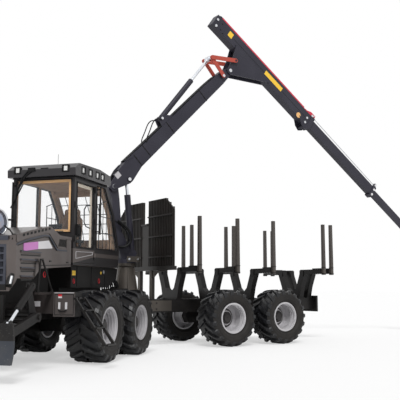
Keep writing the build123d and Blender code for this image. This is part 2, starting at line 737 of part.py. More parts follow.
# Front frame, drawn from the pivot with x forward
front_end = 5100
tongue_rear = -190
blade_pivot = (4700, 900)
blade_arm_y = 900
blade_arm_half = 40
ram_top = (4870, 1400)
ram_foot = (5540, 830)
steer_front_x = 420
steer_front_y = 300
tongue_gap = 6
nose_top = 1260
hood_pin = (front_end - 95, 1335)
hood_pin_radius = 12
tower_gap = 64
with BuildPart() as front_chassis:
    for side in (1, -1):
        outer = side * frame_half_width
        inner = outer - side * beam_width
        block((520, front_end), (min(inner, outer), max(inner, outer)), (frame_bottom, frame_top))
        rod((steer_front_x, side * steer_front_y, steer_level + 50 + side_gap),
            (steer_front_x, side * steer_front_y, frame_bottom + 60), 40)
        block((330, 560), (side * 300 - 60, side * 300 + 60), (frame_bottom, frame_bottom + 80))
    block((520, 640), (-frame_half_width, frame_half_width), (frame_bottom, frame_top))
    for cross_x in (1300, 2700, 3600, 4600):
        block((cross_x, cross_x + 120), (-frame_half_width, frame_half_width),
              (frame_bottom + 40, frame_top - 40))
    tongue_low = frame_bottom + fork_wall + tongue_gap
    tongue_high = frame_top - fork_wall - tongue_gap
    block((0, 560), (-110, 110), (tongue_low, tongue_high))
    with Locations((0, 0, (tongue_low + tongue_high) / 2)):
        Cylinder(130, tongue_high - tongue_low)
    rod((0, 0, frame_bottom - 20), (0, 0, frame_top + 20), pivot_radius)
    block((front_end, front_end + 60), (-560, 560), (frame_bottom - 40, nose_top))
    for side in (1, -1):
        slab(from_side(side * 305 + 15), [
            (hood_pin[0] - 18, hood_pin[1] + 18), (hood_pin[0] - 18, nose_top - 30),
            (front_end + 10, nose_top - 30),
            (front_end + 10, nose_top - 2), (hood_pin[0] + 12, nose_top - 2),
            (hood_pin[0] + 12, hood_pin[1] + 18),
        ], 30)
    rod((hood_pin[0], -400, hood_pin[1]),
        (hood_pin[0], 400, hood_pin[1]), hood_pin_radius + pin_clearance, Mode.SUBTRACT)
    rod((blade_pivot[0], -blade_arm_y - blade_arm_half - 20, blade_pivot[1]),
        (blade_pivot[0], blade_arm_y + blade_arm_half + 20, blade_pivot[1]), 45)
    for side in (1, -1):
        tower_y = side * (blade_arm_y - tower_gap)
        wall_low = tower_y - 30 if side > 0 else tower_y
        slab(from_side(wall_low + 30), [
            (blade_pivot[0] - 90, blade_pivot[1] - 70), (blade_pivot[0] + 90, blade_pivot[1] - 70),
            (ram_top[0] + 60, ram_top[1] - 20), (ram_top[0] + 30, ram_top[1] + 60),
            (ram_top[0] - 60, ram_top[1] + 50),
            (blade_pivot[0] - 90, blade_pivot[1] + 60),
        ], 30)
        rod((ram_top[0], wall_low, ram_top[1]), (ram_top[0], side * (blade_arm_y + 40), ram_top[1]), 25)
        rod((blade_pivot[0] + 30, side * 200, 980), (blade_pivot[0] + 30, wall_low, 980), 60)
finish(front_chassis, "front_chassis", front_place)

# Blade and its two rams
blade_half = 1300
blade_face = 6050
blade_low = 290
blade_high = 850
with BuildPart() as blade:
    with BuildSketch(from_side(blade_half)) as section:
        with BuildLine():
            front_arc = ThreePointArc(
                (blade_face + 70, blade_low), (blade_face, blade_low + 290), (blade_face + 40, blade_high))
            Line(front_arc @ 1, (blade_face, blade_high + 10))
            back = ThreePointArc(
                (blade_face, blade_high + 10), (blade_face - 40, blade_low + 290),
                (blade_face + 20, blade_low))
            Line(back @ 1, front_arc @ 0)
        make_face()
    extrude(section.sketch, amount=2 * blade_half)
    for side in (1, -1):
        edge = side * blade_arm_y + blade_arm_half
        slab(from_side(edge), [
            (blade_pivot[0] - 80, blade_pivot[1]), (blade_pivot[0] - 40, blade_pivot[1] - 75),
            (blade_pivot[0] + 50, blade_pivot[1] - 75), (blade_face - 10, blade_low + 170),
            (blade_face - 15, blade_low + 330),
            (ram_foot[0] + 90, 720), (blade_pivot[0] + 60, blade_pivot[1] + 70),
            (blade_pivot[0] - 50, blade_pivot[1] + 70),
        ], 2 * blade_arm_half)
        for low in (side * blade_arm_y - 46, side * blade_arm_y + 34):
            slab(from_side(low + 12), [
                (ram_foot[0] - 60, 640), (ram_foot[0] + 120, 620), (ram_foot[0] + 60, ram_foot[1] + 40),
                (ram_foot[0], ram_foot[1] + 60), (ram_foot[0] - 50, ram_foot[1] + 20),
            ], 12)
        rod((blade_pivot[0], side * blade_arm_y - 80, blade_pivot[1]),
            (blade_pivot[0], side * blade_arm_y + 80, blade_pivot[1]),
            45 + pin_clearance, Mode.SUBTRACT)
finish(blade, "blade", front_place)

blade_ram_length = ((ram_foot[0] - ram_top[0]) ** 2 + (ram_foot[1] - ram_top[1]) ** 2) ** 0.5
blade_barrel_length = 560
blade_rod_radius = 28
for label in ("blade_barrels", "blade_rods"):
    with BuildPart() as ram_pair:
        line = bar_plane(ram_top, ram_foot)
        for side in (1, -1):
            y = side * blade_arm_y
            if label == "blade_barrels":
                rod(spot(line, 0, 0, y - 26), spot(line, 0, 0, y + 26), 55)
                rod(spot(line, 30, 0, y), spot(line, blade_barrel_length, 0, y), 55)
                bore = blade_rod_radius + pin_clearance
                rod(spot(line, 110, 0, y), spot(line, blade_barrel_length, 0, y), bore, Mode.SUBTRACT)
                rod(spot(line, 0, 0, y - 60), spot(line, 0, 0, y + 60), 25 + pin_clearance, Mode.SUBTRACT)
            else:
                inner = blade_ram_length - blade_barrel_length + 40
                rod(spot(line, inner, 0, y), spot(line, blade_ram_length - 20, 0, y), blade_rod_radius)
                rod(spot(line, blade_ram_length, 0, y - 22), spot(line, blade_ram_length, 0, y + 22), 42)
    finish(ram_pair, label, front_place)

# Engine, lockers, tanks and the body under the cab
engine_x = (3300, 4900)
engine_half = 320
engine_top = 2000
with BuildPart() as engine:
    block(engine_x, (-engine_half, engine_half), (frame_top, engine_top))
finish(engine, "engine", front_place)

locker_x = (3680, 3940)
locker_top = 1300
cab_floor_z = 1800
ladder_pin = (1225, 1190)
ladder_foot = (1800, 400)
ladder_x = (3620, 4020)
ladder_bar = 40
ladder_lugs = (3700, 3880)
belly_half = 580
rail_y = 700
rail_foot = (4348, 3862)
with BuildPart() as lockers:
    for side in (1, -1):
        inner, middle, outer = side * frame_half_width, side * 780, side * 1190
        block((locker_x[0] - 140, locker_x[1] - 20), (min(inner, middle), max(inner, middle)),
              (930, locker_top))
        block(locker_x, (min(middle, outer), max(middle, outer)), (880, locker_top))
    for lug_x in ladder_lugs:
        block((lug_x, lug_x + 30), (1180, ladder_pin[0] + 30), (ladder_pin[1] - 30, ladder_pin[1] + 30))
    rod((ladder_x[0], *ladder_pin), (ladder_x[1], *ladder_pin), 20 + pin_clearance, Mode.SUBTRACT)
    block((1000, 2900), (-frame_half_width, frame_half_width), (frame_top, cab_floor_z))
    slab(from_side(belly_half), [
        (2900, 1380), (1160, 1380), (1060, 1480), (740, 1570), (700, cab_floor_z), (2900, cab_floor_z),
    ], 2 * belly_half)
    block((locker_x[1] - 30, rail_foot[0] + 30), (rail_y - 40, rail_y + 40), (locker_top - 40, locker_top))
finish(lockers, "lockers", front_place)

# Hood: a hollow shell open below and to the rear, with a grille in its nose
hood_half = 650
hood_wall = 30
hood_nose = 5110
hood_rear = 3060
hood_low = 1320
hood_brow = 2130
hood_top = 2455
hood_lean = 30
hood_corner = (130, 60)
hood_over = [
    (hood_nose - 60, hood_brow + 86), (hood_nose - 610, hood_top - 112), (hood_nose - 1240, hood_top),
    (hood_nose - 1590, hood_top - 133),
]
hood_under = [
    (hood_nose - 920, hood_low + 380), (hood_nose - 710, hood_low + 210), (hood_nose - 180, hood_low + 205),
]
hood_side = [
    (hood_nose - hood_lean, hood_low), (hood_nose, hood_brow), *hood_over, (hood_rear, hood_top - 137),
    (hood_rear, hood_low + 445), *hood_under,
]
# each louvre: height above the hood's low edge, start and end behind the nose
louvres = [(242, 658, 280), (382, 726, 276), (515, 795, 272), (650, 922, 268)]
louvre_height = 24
louvre_depth = 14
grille_half = 545
grille_z = (hood_low + 110, hood_brow - 60)
with BuildPart() as hood:
    slab(from_side(hood_half), hood_side, 2 * hood_half)
    slab(from_side(hood_half - hood_wall), [
        (hood_nose - hood_lean - hood_wall, hood_low - 20), (hood_nose - hood_wall, hood_brow - hood_wall),
        *[(x, z - hood_wall) for x, z in hood_over],
        (hood_rear - 1, hood_top - 137 - hood_wall), (hood_rear - 1, hood_low - 20),
    ], 2 * (hood_half - hood_wall), Mode.SUBTRACT)
    for side in (1, -1):
        slab(from_side(side * (hood_half - 65) + 35), [
            (hood_nose - 150, hood_low + 215), (hood_nose - hood_lean - 5, hood_low + 10),
            (hood_nose - 5, hood_brow - 10), (hood_nose - 150, hood_brow + 50),
        ], 70)
        reach = [hood_corner[0] * 1.2, hood_corner[1] * 1.2]
        slab(Plane.XY.offset(hood_low - 50), [
            (hood_nose - reach[0], side * (hood_half + 0.2 * hood_corner[1])),
            (hood_nose + 0.2 * hood_corner[0], side * (hood_half - reach[1])),
            (hood_nose + 0.2 * hood_corner[0], side * (hood_half + 0.2 * hood_corner[1])),
        ], hood_top - hood_low + 100, Mode.SUBTRACT)
    block((hood_nose - 100, hood_nose + 10), (-grille_half, grille_half), grille_z, Mode.SUBTRACT)
    for side in (1, -1):
        for height, start, end in louvres:
            level = hood_low + height
            slab(from_rear(hood_nose - start), [
                (side * (hood_half - 2), level - 2 * louvre_height), (side * (hood_half - 2), level + 4),
                (side * (hood_half + louvre_depth), level), (side * (hood_half + louvre_depth), level - 6),
            ], start - end)
        rod((hood_pin[0], side * 270, hood_pin[1]), (hood_pin[0], side * 350, hood_pin[1]), hood_pin_radius)
        block((hood_pin[0] - 16, hood_nose - 40), (side * 342 - 12, side * 342 + 12),
              (hood_pin[1] - 10, hood_pin[1] + 25))
finish(hood, "hood", front_place)

grille_rows = 5
grille_columns = 6
grille_edge = 30
grille_bar = 30
with BuildPart() as grille:
    block((hood_nose - 32, hood_nose - 8), (-grille_half + seat_gap, grille_half - seat_gap),
          (grille_z[0] + seat_gap, grille_z[1] - seat_gap))
    cell_y = 2 * (grille_half - grille_edge) / grille_columns
    cell_z = (grille_z[1] - grille_z[0] - 2 * grille_edge) / grille_rows
    for row in range(grille_rows):
        for column in range(grille_columns):
            y = -grille_half + grille_edge + column * cell_y
            z = grille_z[0] + grille_edge + row * cell_z
            block((hood_nose - 40, hood_nose), (y + grille_bar / 2, y + cell_y - grille_bar / 2),
                  (z + grille_bar / 2, z + cell_z - grille_bar / 2), Mode.SUBTRACT)
finish(grille, "grille", front_place)

# Cab: shell with cut windows, roof, door and glass, all from the pivot with x forward
cab_front = 2990
cab_rear_low = 850
cab_rear_waist = 800
cab_rear_top = 1500
cab_bend = (1090, 2930)
cab_waist = 2180
cab_eaves = 3500
cab_half = 660
cab_wall = 50
window_low = 2420
window_high = 3450
side_low = 2150
door_x = (2060, 2940)
door_gap = 5
front_window_half = 595
rear_window_half = 520
rear_window = (2400, 3400)
rear_edge = [(cab_rear_waist, cab_waist), cab_bend, (cab_rear_top, cab_eaves)]
side_frame = 110


def rear_x(level):
    # the rear wall's outer face at this height
    low, high = rear_edge[:2] if level < cab_bend[1] else rear_edge[1:]
    return low[0] + (level - low[1]) * (high[0] - low[0]) / (high[1] - low[1])


side_window = [
    (1990, window_high), (rear_x(window_high) + side_frame, window_high),
    (cab_bend[0] + side_frame, cab_bend[1]),
    (rear_x(side_low + 80) + side_frame, side_low + 80), (cab_rear_waist + side_frame + 60, side_low),
    (1990, side_low),
]
far_window = [(2880, window_high), (2080, window_high), (2080, side_low), (2880, side_low)]
glass_wall = 8
glass_inset = 20
seat_x = 2000
with BuildPart() as cab_shell:
    slab(from_side(cab_half), [
        (cab_front, cab_floor_z), (cab_front, cab_eaves), (cab_rear_top, cab_eaves), cab_bend,
        (cab_rear_waist, cab_waist), (cab_rear_low, cab_floor_z),
    ], 2 * cab_half)
    slab(from_side(cab_half - cab_wall), [
        (cab_front - cab_wall, cab_floor_z + cab_wall), (cab_front - cab_wall, cab_eaves + 1),
        (cab_rear_top + cab_wall, cab_eaves + 1), (cab_bend[0] + cab_wall, cab_bend[1]),
        (cab_rear_waist + cab_wall, cab_waist),
        (cab_rear_low + cab_wall, cab_floor_z + cab_wall),
    ], 2 * (cab_half - cab_wall), Mode.SUBTRACT)
    block((cab_front - 60, cab_front + 10), (-front_window_half, front_window_half),
          (window_low, window_high), Mode.SUBTRACT)
    slab(from_side(cab_half + 10), side_window, cab_wall + 20, Mode.SUBTRACT)
    slab(from_side(-cab_half + cab_wall + 10), side_window, cab_wall + 20, Mode.SUBTRACT)
    slab(from_side(-cab_half + cab_wall + 10), far_window, cab_wall + 20, Mode.SUBTRACT)
    block(door_x, (cab_half - cab_wall - 10, cab_half + 10),
          (cab_floor_z + cab_wall, cab_eaves - 40), Mode.SUBTRACT)
    block((cab_rear_waist - 50, cab_rear_top + 60),
          (-rear_window_half, rear_window_half), rear_window, Mode.SUBTRACT)
    with Locations((seat_x, 0, cab_floor_z + cab_wall + 90)):
        Cylinder(150, 180)
    with Locations((seat_x, 0, cab_floor_z + cab_wall + 200)):
        Cylinder(40, 60)
    slab(from_side(420), [
        (cab_front - cab_wall + 5, cab_floor_z + cab_wall - 5), (cab_front - cab_wall + 5, 2460),
        (cab_front - 170, 2500),
        (cab_front - 330, 2420), (cab_front - 230, 2300), (cab_front - 190, cab_floor_z + cab_wall - 5),
    ], 840)
finish(cab_shell, "cab_shell", front_place)

door_low = cab_floor_z + cab_wall + door_gap
door_high = cab_eaves - 40 - door_gap
door_frame = 60
hinge_radius = 18
with BuildPart() as door:
    block((door_x[0] + door_gap, door_x[1] - door_gap), (cab_half - cab_wall, cab_half),
          (door_low, door_high))
    block((door_x[0] + door_frame, door_x[1] - door_frame), (cab_half - cab_wall - 1, cab_half + 1),
          (side_low, door_high - door_frame), Mode.SUBTRACT)
    for level in (2000, 2700, 3350):
        rod((door_x[0] + 12, cab_half + 14, level - 60),
            (door_x[0] + 12, cab_half + 14, level + 60), hinge_radius)
finish(door, "door", front_place)

with BuildPart() as door_glass:
    block((door_x[0] + door_frame + seat_gap, door_x[1] - door_frame - seat_gap),
          (cab_half - 30, cab_half - 30 + glass_wall),
          (side_low + seat_gap, door_high - door_frame - seat_gap))
finish(door_glass, "door_glass", front_place)


def pane(y, outline):
    # a side pane, a seat's gap smaller all round than its window
    with BuildSketch(from_side(y)) as opening:
        with BuildLine():
            Polyline(*outline, close=True)
        make_face()
        offset(amount=-seat_gap, kind=Kind.INTERSECTION, mode=Mode.REPLACE)
    extrude(opening.sketch, amount=glass_wall)


with BuildPart() as cab_glass:
    block((cab_front - 30, cab_front - 30 + glass_wall),
          (-front_window_half + seat_gap, front_window_half - seat_gap),
          (window_low + seat_gap, window_high - seat_gap))
    for y in (cab_half - glass_inset, -cab_half + glass_inset + glass_wall):
        pane(y, side_window)
    pane(-cab_half + glass_inset + glass_wall, far_window)
    levels = (rear_window[0] + seat_gap, cab_bend[1], rear_window[1] - seat_gap)
    outer = [(rear_x(level) + glass_inset, level) for level in levels]
    slab(from_side(rear_window_half - seat_gap), outer + [(x + glass_wall, z) for x, z in reversed(outer)],
         2 * (rear_window_half - seat_gap))
finish(cab_glass, "cab_glass", front_place)

roof_front = cab_front + 110
roof_rear = cab_rear_top - 60
roof_half = 730
roof_top = 3775
lamp_size = (130, 60, 120)
lamp_z = 3635
front_lamps = (-515, 515)
side_lamps = (1872, 2118, 2447, 2763)
with BuildPart() as cab_roof:
    slab(from_side(roof_half), [
        (roof_front, cab_eaves), (roof_front + 10, roof_top - 130), (roof_front - 160, roof_top - 20),
        (cab_rear_top + 500, roof_top), (roof_rear + 40, roof_top - 60), (roof_rear, cab_eaves + 60),
        (roof_rear + 60, cab_eaves),
    ], 2 * roof_half)
    for y in front_lamps:
        block((roof_front - lamp_size[1], roof_front + 20), (y - lamp_size[0] / 2, y + lamp_size[0] / 2),
              (lamp_z - lamp_size[2] / 2, lamp_z + lamp_size[2] / 2), Mode.SUBTRACT)
    for x in side_lamps:
        for low in (roof_half - lamp_size[1], -roof_half - 1):
            block((x - lamp_size[0] / 2, x + lamp_size[0] / 2), (low, low + lamp_size[1] + 1),
                  (lamp_z - lamp_size[2] / 2, lamp_z + lamp_size[2] / 2), Mode.SUBTRACT)
finish(cab_roof, "cab_roof", front_place)

with BuildPart() as work_lamps:
    half_width = lamp_size[0] / 2 - seat_gap
    half_height = lamp_size[2] / 2 - seat_gap
    for y in front_lamps:
        block((roof_front - lamp_size[1] + seat_gap, roof_front - 5), (y - half_width, y + half_width),
              (lamp_z - half_height, lamp_z + half_height))
    for x in side_lamps:
        for low in (roof_half - lamp_size[1] + seat_gap, -roof_half + 5):
            block((x - half_width, x + half_width), (low, low + lamp_size[1] - 5 - seat_gap),
                  (lamp_z - half_height, lamp_z + half_height))
finish(work_lamps, "work_lamps", front_place)

with BuildPart() as seat:
    base = cab_floor_z + cab_wall + 180 + seat_gap
    block((seat_x - 220, seat_x + 260), (-240, 240), (base, base + 160))
    slab(from_side(230), [
        (seat_x - 200, base + 150), (seat_x - 90, base + 150), (seat_x - 180, base + 780),
        (seat_x - 290, base + 780),
    ], 460)
    for side in (1, -1):
        block((seat_x - 150, seat_x + 300), (side * 290 - 45, side * 290 + 45), (base + 250, base + 330))
        block((seat_x - 60, seat_x), (min(side * 235, side * 290), max(side * 235, side * 290)),
              (base + 80, base + 300))
    with Locations((seat_x, 0, base + 30)):
        Cylinder(40 + pin_clearance, 62, mode=Mode.SUBTRACT)
finish(seat, "seat", front_place)

# Rails: start and end of each upright and of each stay between them
rail_radius = 17
stay_radius = 14
locker_rail_z = locker_top + seat_gap
rail_head = (4275, 4215)
uprights = [
    ((rail_foot[0], rail_y, locker_rail_z + 20), (rail_head[0], rail_y, 1865)),
    ((rail_foot[1], rail_y, locker_rail_z + 20), (rail_head[1], rail_y, 1865)),
    ((2025, 760, 2440), (2025, 760, 3420)), ((3060, -630, 2440), (3060, -630, 3420)),
]
stays = [
    ((rail_head[1] - 10, rail_y, 1855), (rail_head[0] + 10, rail_y, 1855)),
    ((2025, cab_half + seat_gap, 2500), (2025, 760, 2500)),
    ((2025, cab_half + seat_gap, 3360), (2025, 760, 3360)), ((cab_front + seat_gap, -630, 2500),
    (3060, -630, 2500)),
    ((cab_front + seat_gap, -630, 3360), (3060, -630, 3360)),
]
mirror_x = 3150
mirror_wall = 30
mirror_y = (-960, -780)
mirror_z = 2680
with BuildPart() as rails:
    for start, end in uprights:
        rod(start, end, rail_radius)
    for start, end in stays:
        rod(start, end, stay_radius)
    for foot_x in rail_foot:
        rod((foot_x, rail_y, locker_rail_z), (foot_x, rail_y, locker_rail_z + 45), rail_radius + 8)
    block((mirror_x, mirror_x + mirror_wall), mirror_y, (mirror_z - 120, mirror_z + 120))
    block((3040, mirror_x + 10), (mirror_y[1] - 20, -620), (mirror_z - 15, mirror_z + 15))
finish(rails, "rails", front_place)

# Ladder, hinged at the locker's outer edge and let down
with BuildPart() as ladder:
    run = Vector(0, ladder_foot[0] - ladder_pin[0], ladder_foot[1] - ladder_pin[1])
    for low in (ladder_x[0], ladder_x[1] - ladder_bar):
        slab(from_rear(low), [
            (ladder_pin[0] - 20, ladder_pin[1] + 12), (ladder_pin[0] + 20, ladder_pin[1] + 18),
            (ladder_foot[0] + 25, ladder_foot[1] + 20), (ladder_foot[0] - 25, ladder_foot[1]),
        ], ladder_bar)
    for share in (0.25, 0.62, 0.98):
        y = ladder_pin[0] + share * run.Y
        z = ladder_pin[1] + share * run.Z
        block((ladder_x[0] + ladder_bar / 2, ladder_x[1] - ladder_bar / 2), (y - 60, y + 60),
              (z - 12, z + 12))
    rod((ladder_x[0] - 20, *ladder_pin), (ladder_x[1] + 20, *ladder_pin), 20)
finish(ladder, "ladder", front_place)

# Steering rams, below the pivot
steer_barrel_length = 700
steer_rod_length = 690
steer_rod_radius = 28
steer_eye_half = 40
steer_rams = {}
for label, side in (("left", 1), ("right", -1)):
    turn = radians(steer_at_rest)
    start = (steer_pin_x, side * steer_pin_y, steer_level)
    end = (
        rear_pivot_reach + steer_front_x * cos(turn) - side * steer_front_y * sin(turn),
        steer_front_x * sin(turn) + side * steer_front_y * cos(turn), steer_level)
    run = Vector(*end) - Vector(*start)
    line = Plane(origin=start, x_dir=run, z_dir=(0, 0, 1))
    steer_rams[label] = (start, end)
    with BuildPart() as steer_barrel:
        rod(spot(line, 50, 0), spot(line, steer_barrel_length, 0), 48)
        rod(spot(line, 0, 0, -steer_eye_half), spot(line, 0, 0, steer_eye_half), 60)
        bore = 30 + pin_clearance
        rod(spot(line, 0, 0, -steer_eye_half), spot(line, 0, 0, steer_eye_half), bore, Mode.SUBTRACT)
        bore = steer_rod_radius + pin_clearance
        rod(spot(line, 110, 0), spot(line, steer_barrel_length, 0), bore, Mode.SUBTRACT)
    finish(steer_barrel, f"steer_barrel_{label}")
    with BuildPart() as steer_rod:
        rod(spot(line, run.length - steer_rod_length, 0), spot(line, run.length - 30, 0), steer_rod_radius)
        rod(spot(line, run.length, 0, -steer_eye_half), spot(line, run.length, 0, steer_eye_half), 50)
    finish(steer_rod, f"steer_rod_{label}")

# The origin is set on the ground under the middle of the whole machine
whole = Compound(children=[piece.moved(Location()) for piece in pieces])
extent = whole.bounding_box()
shift = Location((-extent.center().X, -extent.center().Y, -extent.min.Z))
for piece in pieces:
    placed = piece.moved(shift)
    placed.label = piece.label
    export_step(placed, f"parts/{piece.label}.step")
print("overall size", [round(value, 1) for value in (extent.size.X, extent.size.Y, extent.size.Z)])
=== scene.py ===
import bmesh
import bpy
import json
import math
from mathutils import Matrix, Vector


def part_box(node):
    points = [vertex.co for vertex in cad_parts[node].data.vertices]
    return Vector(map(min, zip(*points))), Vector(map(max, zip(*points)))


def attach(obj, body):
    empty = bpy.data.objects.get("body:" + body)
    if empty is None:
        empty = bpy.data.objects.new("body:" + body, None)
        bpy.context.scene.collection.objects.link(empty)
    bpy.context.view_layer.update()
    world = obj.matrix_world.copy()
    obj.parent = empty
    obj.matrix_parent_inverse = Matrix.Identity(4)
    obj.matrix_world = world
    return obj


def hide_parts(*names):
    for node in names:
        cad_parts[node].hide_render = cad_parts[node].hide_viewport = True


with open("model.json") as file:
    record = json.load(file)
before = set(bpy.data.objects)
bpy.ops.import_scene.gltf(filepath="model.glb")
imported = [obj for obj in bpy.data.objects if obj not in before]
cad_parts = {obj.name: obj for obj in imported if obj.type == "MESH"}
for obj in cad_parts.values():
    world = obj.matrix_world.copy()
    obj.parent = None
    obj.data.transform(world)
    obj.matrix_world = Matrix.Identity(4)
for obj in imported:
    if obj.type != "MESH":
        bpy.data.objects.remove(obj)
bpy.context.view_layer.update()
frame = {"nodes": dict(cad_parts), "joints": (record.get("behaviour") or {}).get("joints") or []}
nodes = frame["nodes"]
joints = {joint["name"]: joint for joint in frame["joints"]}

# The rear frame's own origin is on the ground under its axle, and the front frame's is under the pivot
steerRest = math.radians(39.4)
rearLow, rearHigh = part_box("rear_bogies")
rearOrigin = Vector(((rearLow.x + rearHigh.x) / 2, (rearLow.y + rearHigh.y) / 2, 0))
pivot = Vector(joints["steering"]["pos_m"])
rearPlace = Matrix.Translation(rearOrigin)
frontPlace = Matrix.Translation((pivot.x, pivot.y, 0)) @ Matrix.Rotation(steerRest, 4, "Z")


# Shader values
class Sock:
    # an output socket that can be used in sums
    def __init__(self, tree, socket):
        self.tree = tree
        self.socket = socket

    def node(self, kind, settings=None, inputs=None, output=0):
        made = self.tree.nodes.new(kind)
        for key, value in (settings or {}).items():
            setattr(made, key, value)
        for key, value in (inputs or {}).items():
            if isinstance(value, Sock):
                self.tree.links.new(value.socket, made.inputs[key])
            else:
                made.inputs[key].default_value = value
        return Sock(self.tree, made.outputs[output])

    def math(self, operation, other, swap=False):
        pair = (other, self) if swap else (self, other)
        return self.node("ShaderNodeMath", {"operation": operation}, {0: pair[0], 1: pair[1]})

    def __add__(self, other):
        return self.math("ADD", other)

    def __sub__(self, other):
        return self.math("SUBTRACT", other)

    def __rsub__(self, other):
        return self.math("SUBTRACT", other, True)

    def __mul__(self, other):
        return self.math("MULTIPLY", other)

    __radd__ = __add__
    __rmul__ = __mul__

    def __gt__(self, other):
        return self.math("GREATER_THAN", other)

    def __lt__(self, other):
        return self.math("LESS_THAN", other)

    def __abs__(self):
        return self.node("ShaderNodeMath", {"operation": "ABSOLUTE"}, {0: self})

    def ramp(self, low, high):  # 0 below low and 1 above high
        limits = {"From Min": low, "From Max": high}
        return self.node("ShaderNodeMapRange", {"clamp": True}, {"Value": self, **limits})

    def mix(self, first, second):  # colours, by this factor
        settings = {"data_type": "RGBA"}
        return self.node("ShaderNodeMix", settings, {0: self, 6: colour(first), 7: colour(second)}, 2)

    def noise(self, scale, detail=4.0):
        return self.node("ShaderNodeTexNoise", None, {"Vector": self, "Scale": scale, "Detail": detail})

    def part(self, axis):
        return self.node("ShaderNodeSeparateXYZ", None, {"Vector": self}, axis)

    def bump(self, strength, depth):
        return self.node("ShaderNodeBump", None, {"Strength": strength, "Distance": depth, "Height": self})


def colour(value):
    return value if isinstance(value, Sock) else (*value, 1.0)


def newMaterial(name):
    material = bpy.data.materials.new(name)
    material.use_nodes = True
    tree = material.node_tree
    shader = tree.nodes["Principled BSDF"]
    place = Sock(tree, tree.nodes.new("ShaderNodeTexCoord").outputs["Object"])
    return material, tree, shader, place


def feed(tree, shader, **sockets):
    for name, value in sockets.items():
        target = shader.inputs[name.replace("_", " ")]
        if isinstance(value, Sock):
            tree.links.new(value.socket, target)
        else:
            target.default_value = value


def frontAxes(place):
    # distances ahead of the pivot, to the left and above the ground, along the front frame
    turn = {"Vector": place, "Center": (pivot.x, pivot.y, 0), "Angle": -steerRest}
    turned = place.node("ShaderNodeVectorRotate", {"rotation_type": "Z_AXIS"}, turn)
    return turned.part(0) - pivot.x, turned.part(1) - pivot.y, turned.part(2)


def lowerDoor(place):
    # the pewter foot of the door and the cab, which rises to the rear over the dark belly
    ahead, left, up = frontAxes(place)
    edge = 1.985 - ahead.ramp(2.06, 2.94) * 0.14
    crown = (ahead > 2.055) * 0.05 + 2.065
    return (up < crown) * (up > edge) * (abs(left) > 0.62)


def cabLining(place):
    # the cab's inner faces
    ahead, left, up = frontAxes(place)
    lowWall = up.ramp(2.18, 2.93) * 0.29 + 0.80
    rearWall = lowWall + up.ramp(2.93, 3.50) * 0.41 + 0.03
    return (abs(left) < 0.615) * (ahead < 2.945) * (ahead > rearWall)


def lockerFace(place):
    # the front of the outer lockers
    ahead, left, _ = frontAxes(place)
    return (abs(left) > 0.785) * (ahead > 3.932)


def lockerInner(place):
    # the front of the boxes between the lockers
    ahead, left, _ = frontAxes(place)
    return (abs(left) < 0.785) * (ahead > 3.90)


def bladeUpper(place):
    # the blade's arms and its upper part
    ahead, _, up = frontAxes(place)
    return (ahead < 5.95).math("MAXIMUM", up > 0.62)


bareMetal = (0.30, 0.29, 0.28)
roadDust = (0.16, 0.14, 0.115)
grain = {"peel": 140.0, "scuffs": 38.0, "dust": 7.0, "rubber": 220.0}  # scales of the noise


def paint(name, look):
    # sprayed metal, a little uneven, with dust low down, thin scuffs and a fine orange-peel bump
    material, tree, shader, place = newMaterial(name)
    cloudy = place.noise(look["cloud"])
    fine = place.noise(grain["peel"], 2.0)
    scuffs = place.noise(grain["scuffs"], 6.0).ramp(0.66, 0.72) * look["scuff"]
    lowDown = 1.0 - place.part(2).ramp(0.1, look["dustTop"])
    dusty = lowDown * place.noise(grain["dust"]).ramp(0.4, 0.75) * look["dust"]
    base = cloudy.ramp(0.35, 0.7).mix(look["base"], look["shade"])
    metal = look["metal"]
    for zone, zoneBase, zoneMetal in look.get("zones", ()):
        inside = zone(place)
        base = inside.mix(base, zoneBase)
        metal = metal + inside * (zoneMetal - look["metal"])
    base = scuffs.mix(base, bareMetal)
    rough = look["rough"] + fine * 0.10 + dusty * 0.3 + scuffs * 0.2
    feed(tree, shader, Base_Color=dusty.mix(base, roadDust), Roughness=rough)
    feed(tree, shader, Normal=fine.bump(look["peel"], 0.002), Metallic=metal, Coat_Weight=look["coat"])
    feed(tree, shader, Specular_IOR_Level=look["gloss"])
    return material


def rubber(name, look):
    material, tree, shader, place = newMaterial(name)
    mottled = place.noise(look["cloud"])
    fine = place.noise(grain["rubber"], 2.0)
    base = mottled.ramp(0.4, 0.75).mix(look["base"], look["shade"])
    feed(tree, shader, Base_Color=base, Roughness=look["rough"] + fine * 0.15, Normal=fine.bump(0.25, 0.001))
    feed(tree, shader, Specular_IOR_Level=look.get("gloss", 0.16))
    return material


def polished(name, look):
    material, tree, shader, place = newMaterial(name)
    streaks = place.noise(look["cloud"])
    feed(tree, shader, Base_Color=streaks.ramp(0.3, 0.7).mix(look["base"], look["shade"]), Metallic=1.0)
    feed(tree, shader, Roughness=look["rough"] + streaks * 0.1)
    return material


def glazing(name, look):
    material, tree, shader, place = newMaterial(name)
    smudge = place.noise(look["cloud"])
    feed(tree, shader, Base_Color=smudge.ramp(0.3, 0.8).mix(look["base"], look["shade"]))
    feed(tree, shader, Roughness=look["rough"] + smudge * 0.06, Alpha=look["alpha"] + smudge * 0.03)
    return material


pewter = (0.132, 0.114, 0.108)
lining = (0.33, 0.215, 0.135)
paintBase = {"cloud": 1.3, "dustTop": 1.2, "dust": 0.12, "rough": 0.36, "peel": 0.06, "metal": 0.0, "coat": 0.0,
             "scuff": 0.0, "gloss": 0.22}


def finish(maker, base, shade, **values):
    # a maker of materials with its look: two tones, and what differs from plain sprayed paint
    return maker, {**(paintBase if maker is paint else {}), "base": base, "shade": shade, **values}


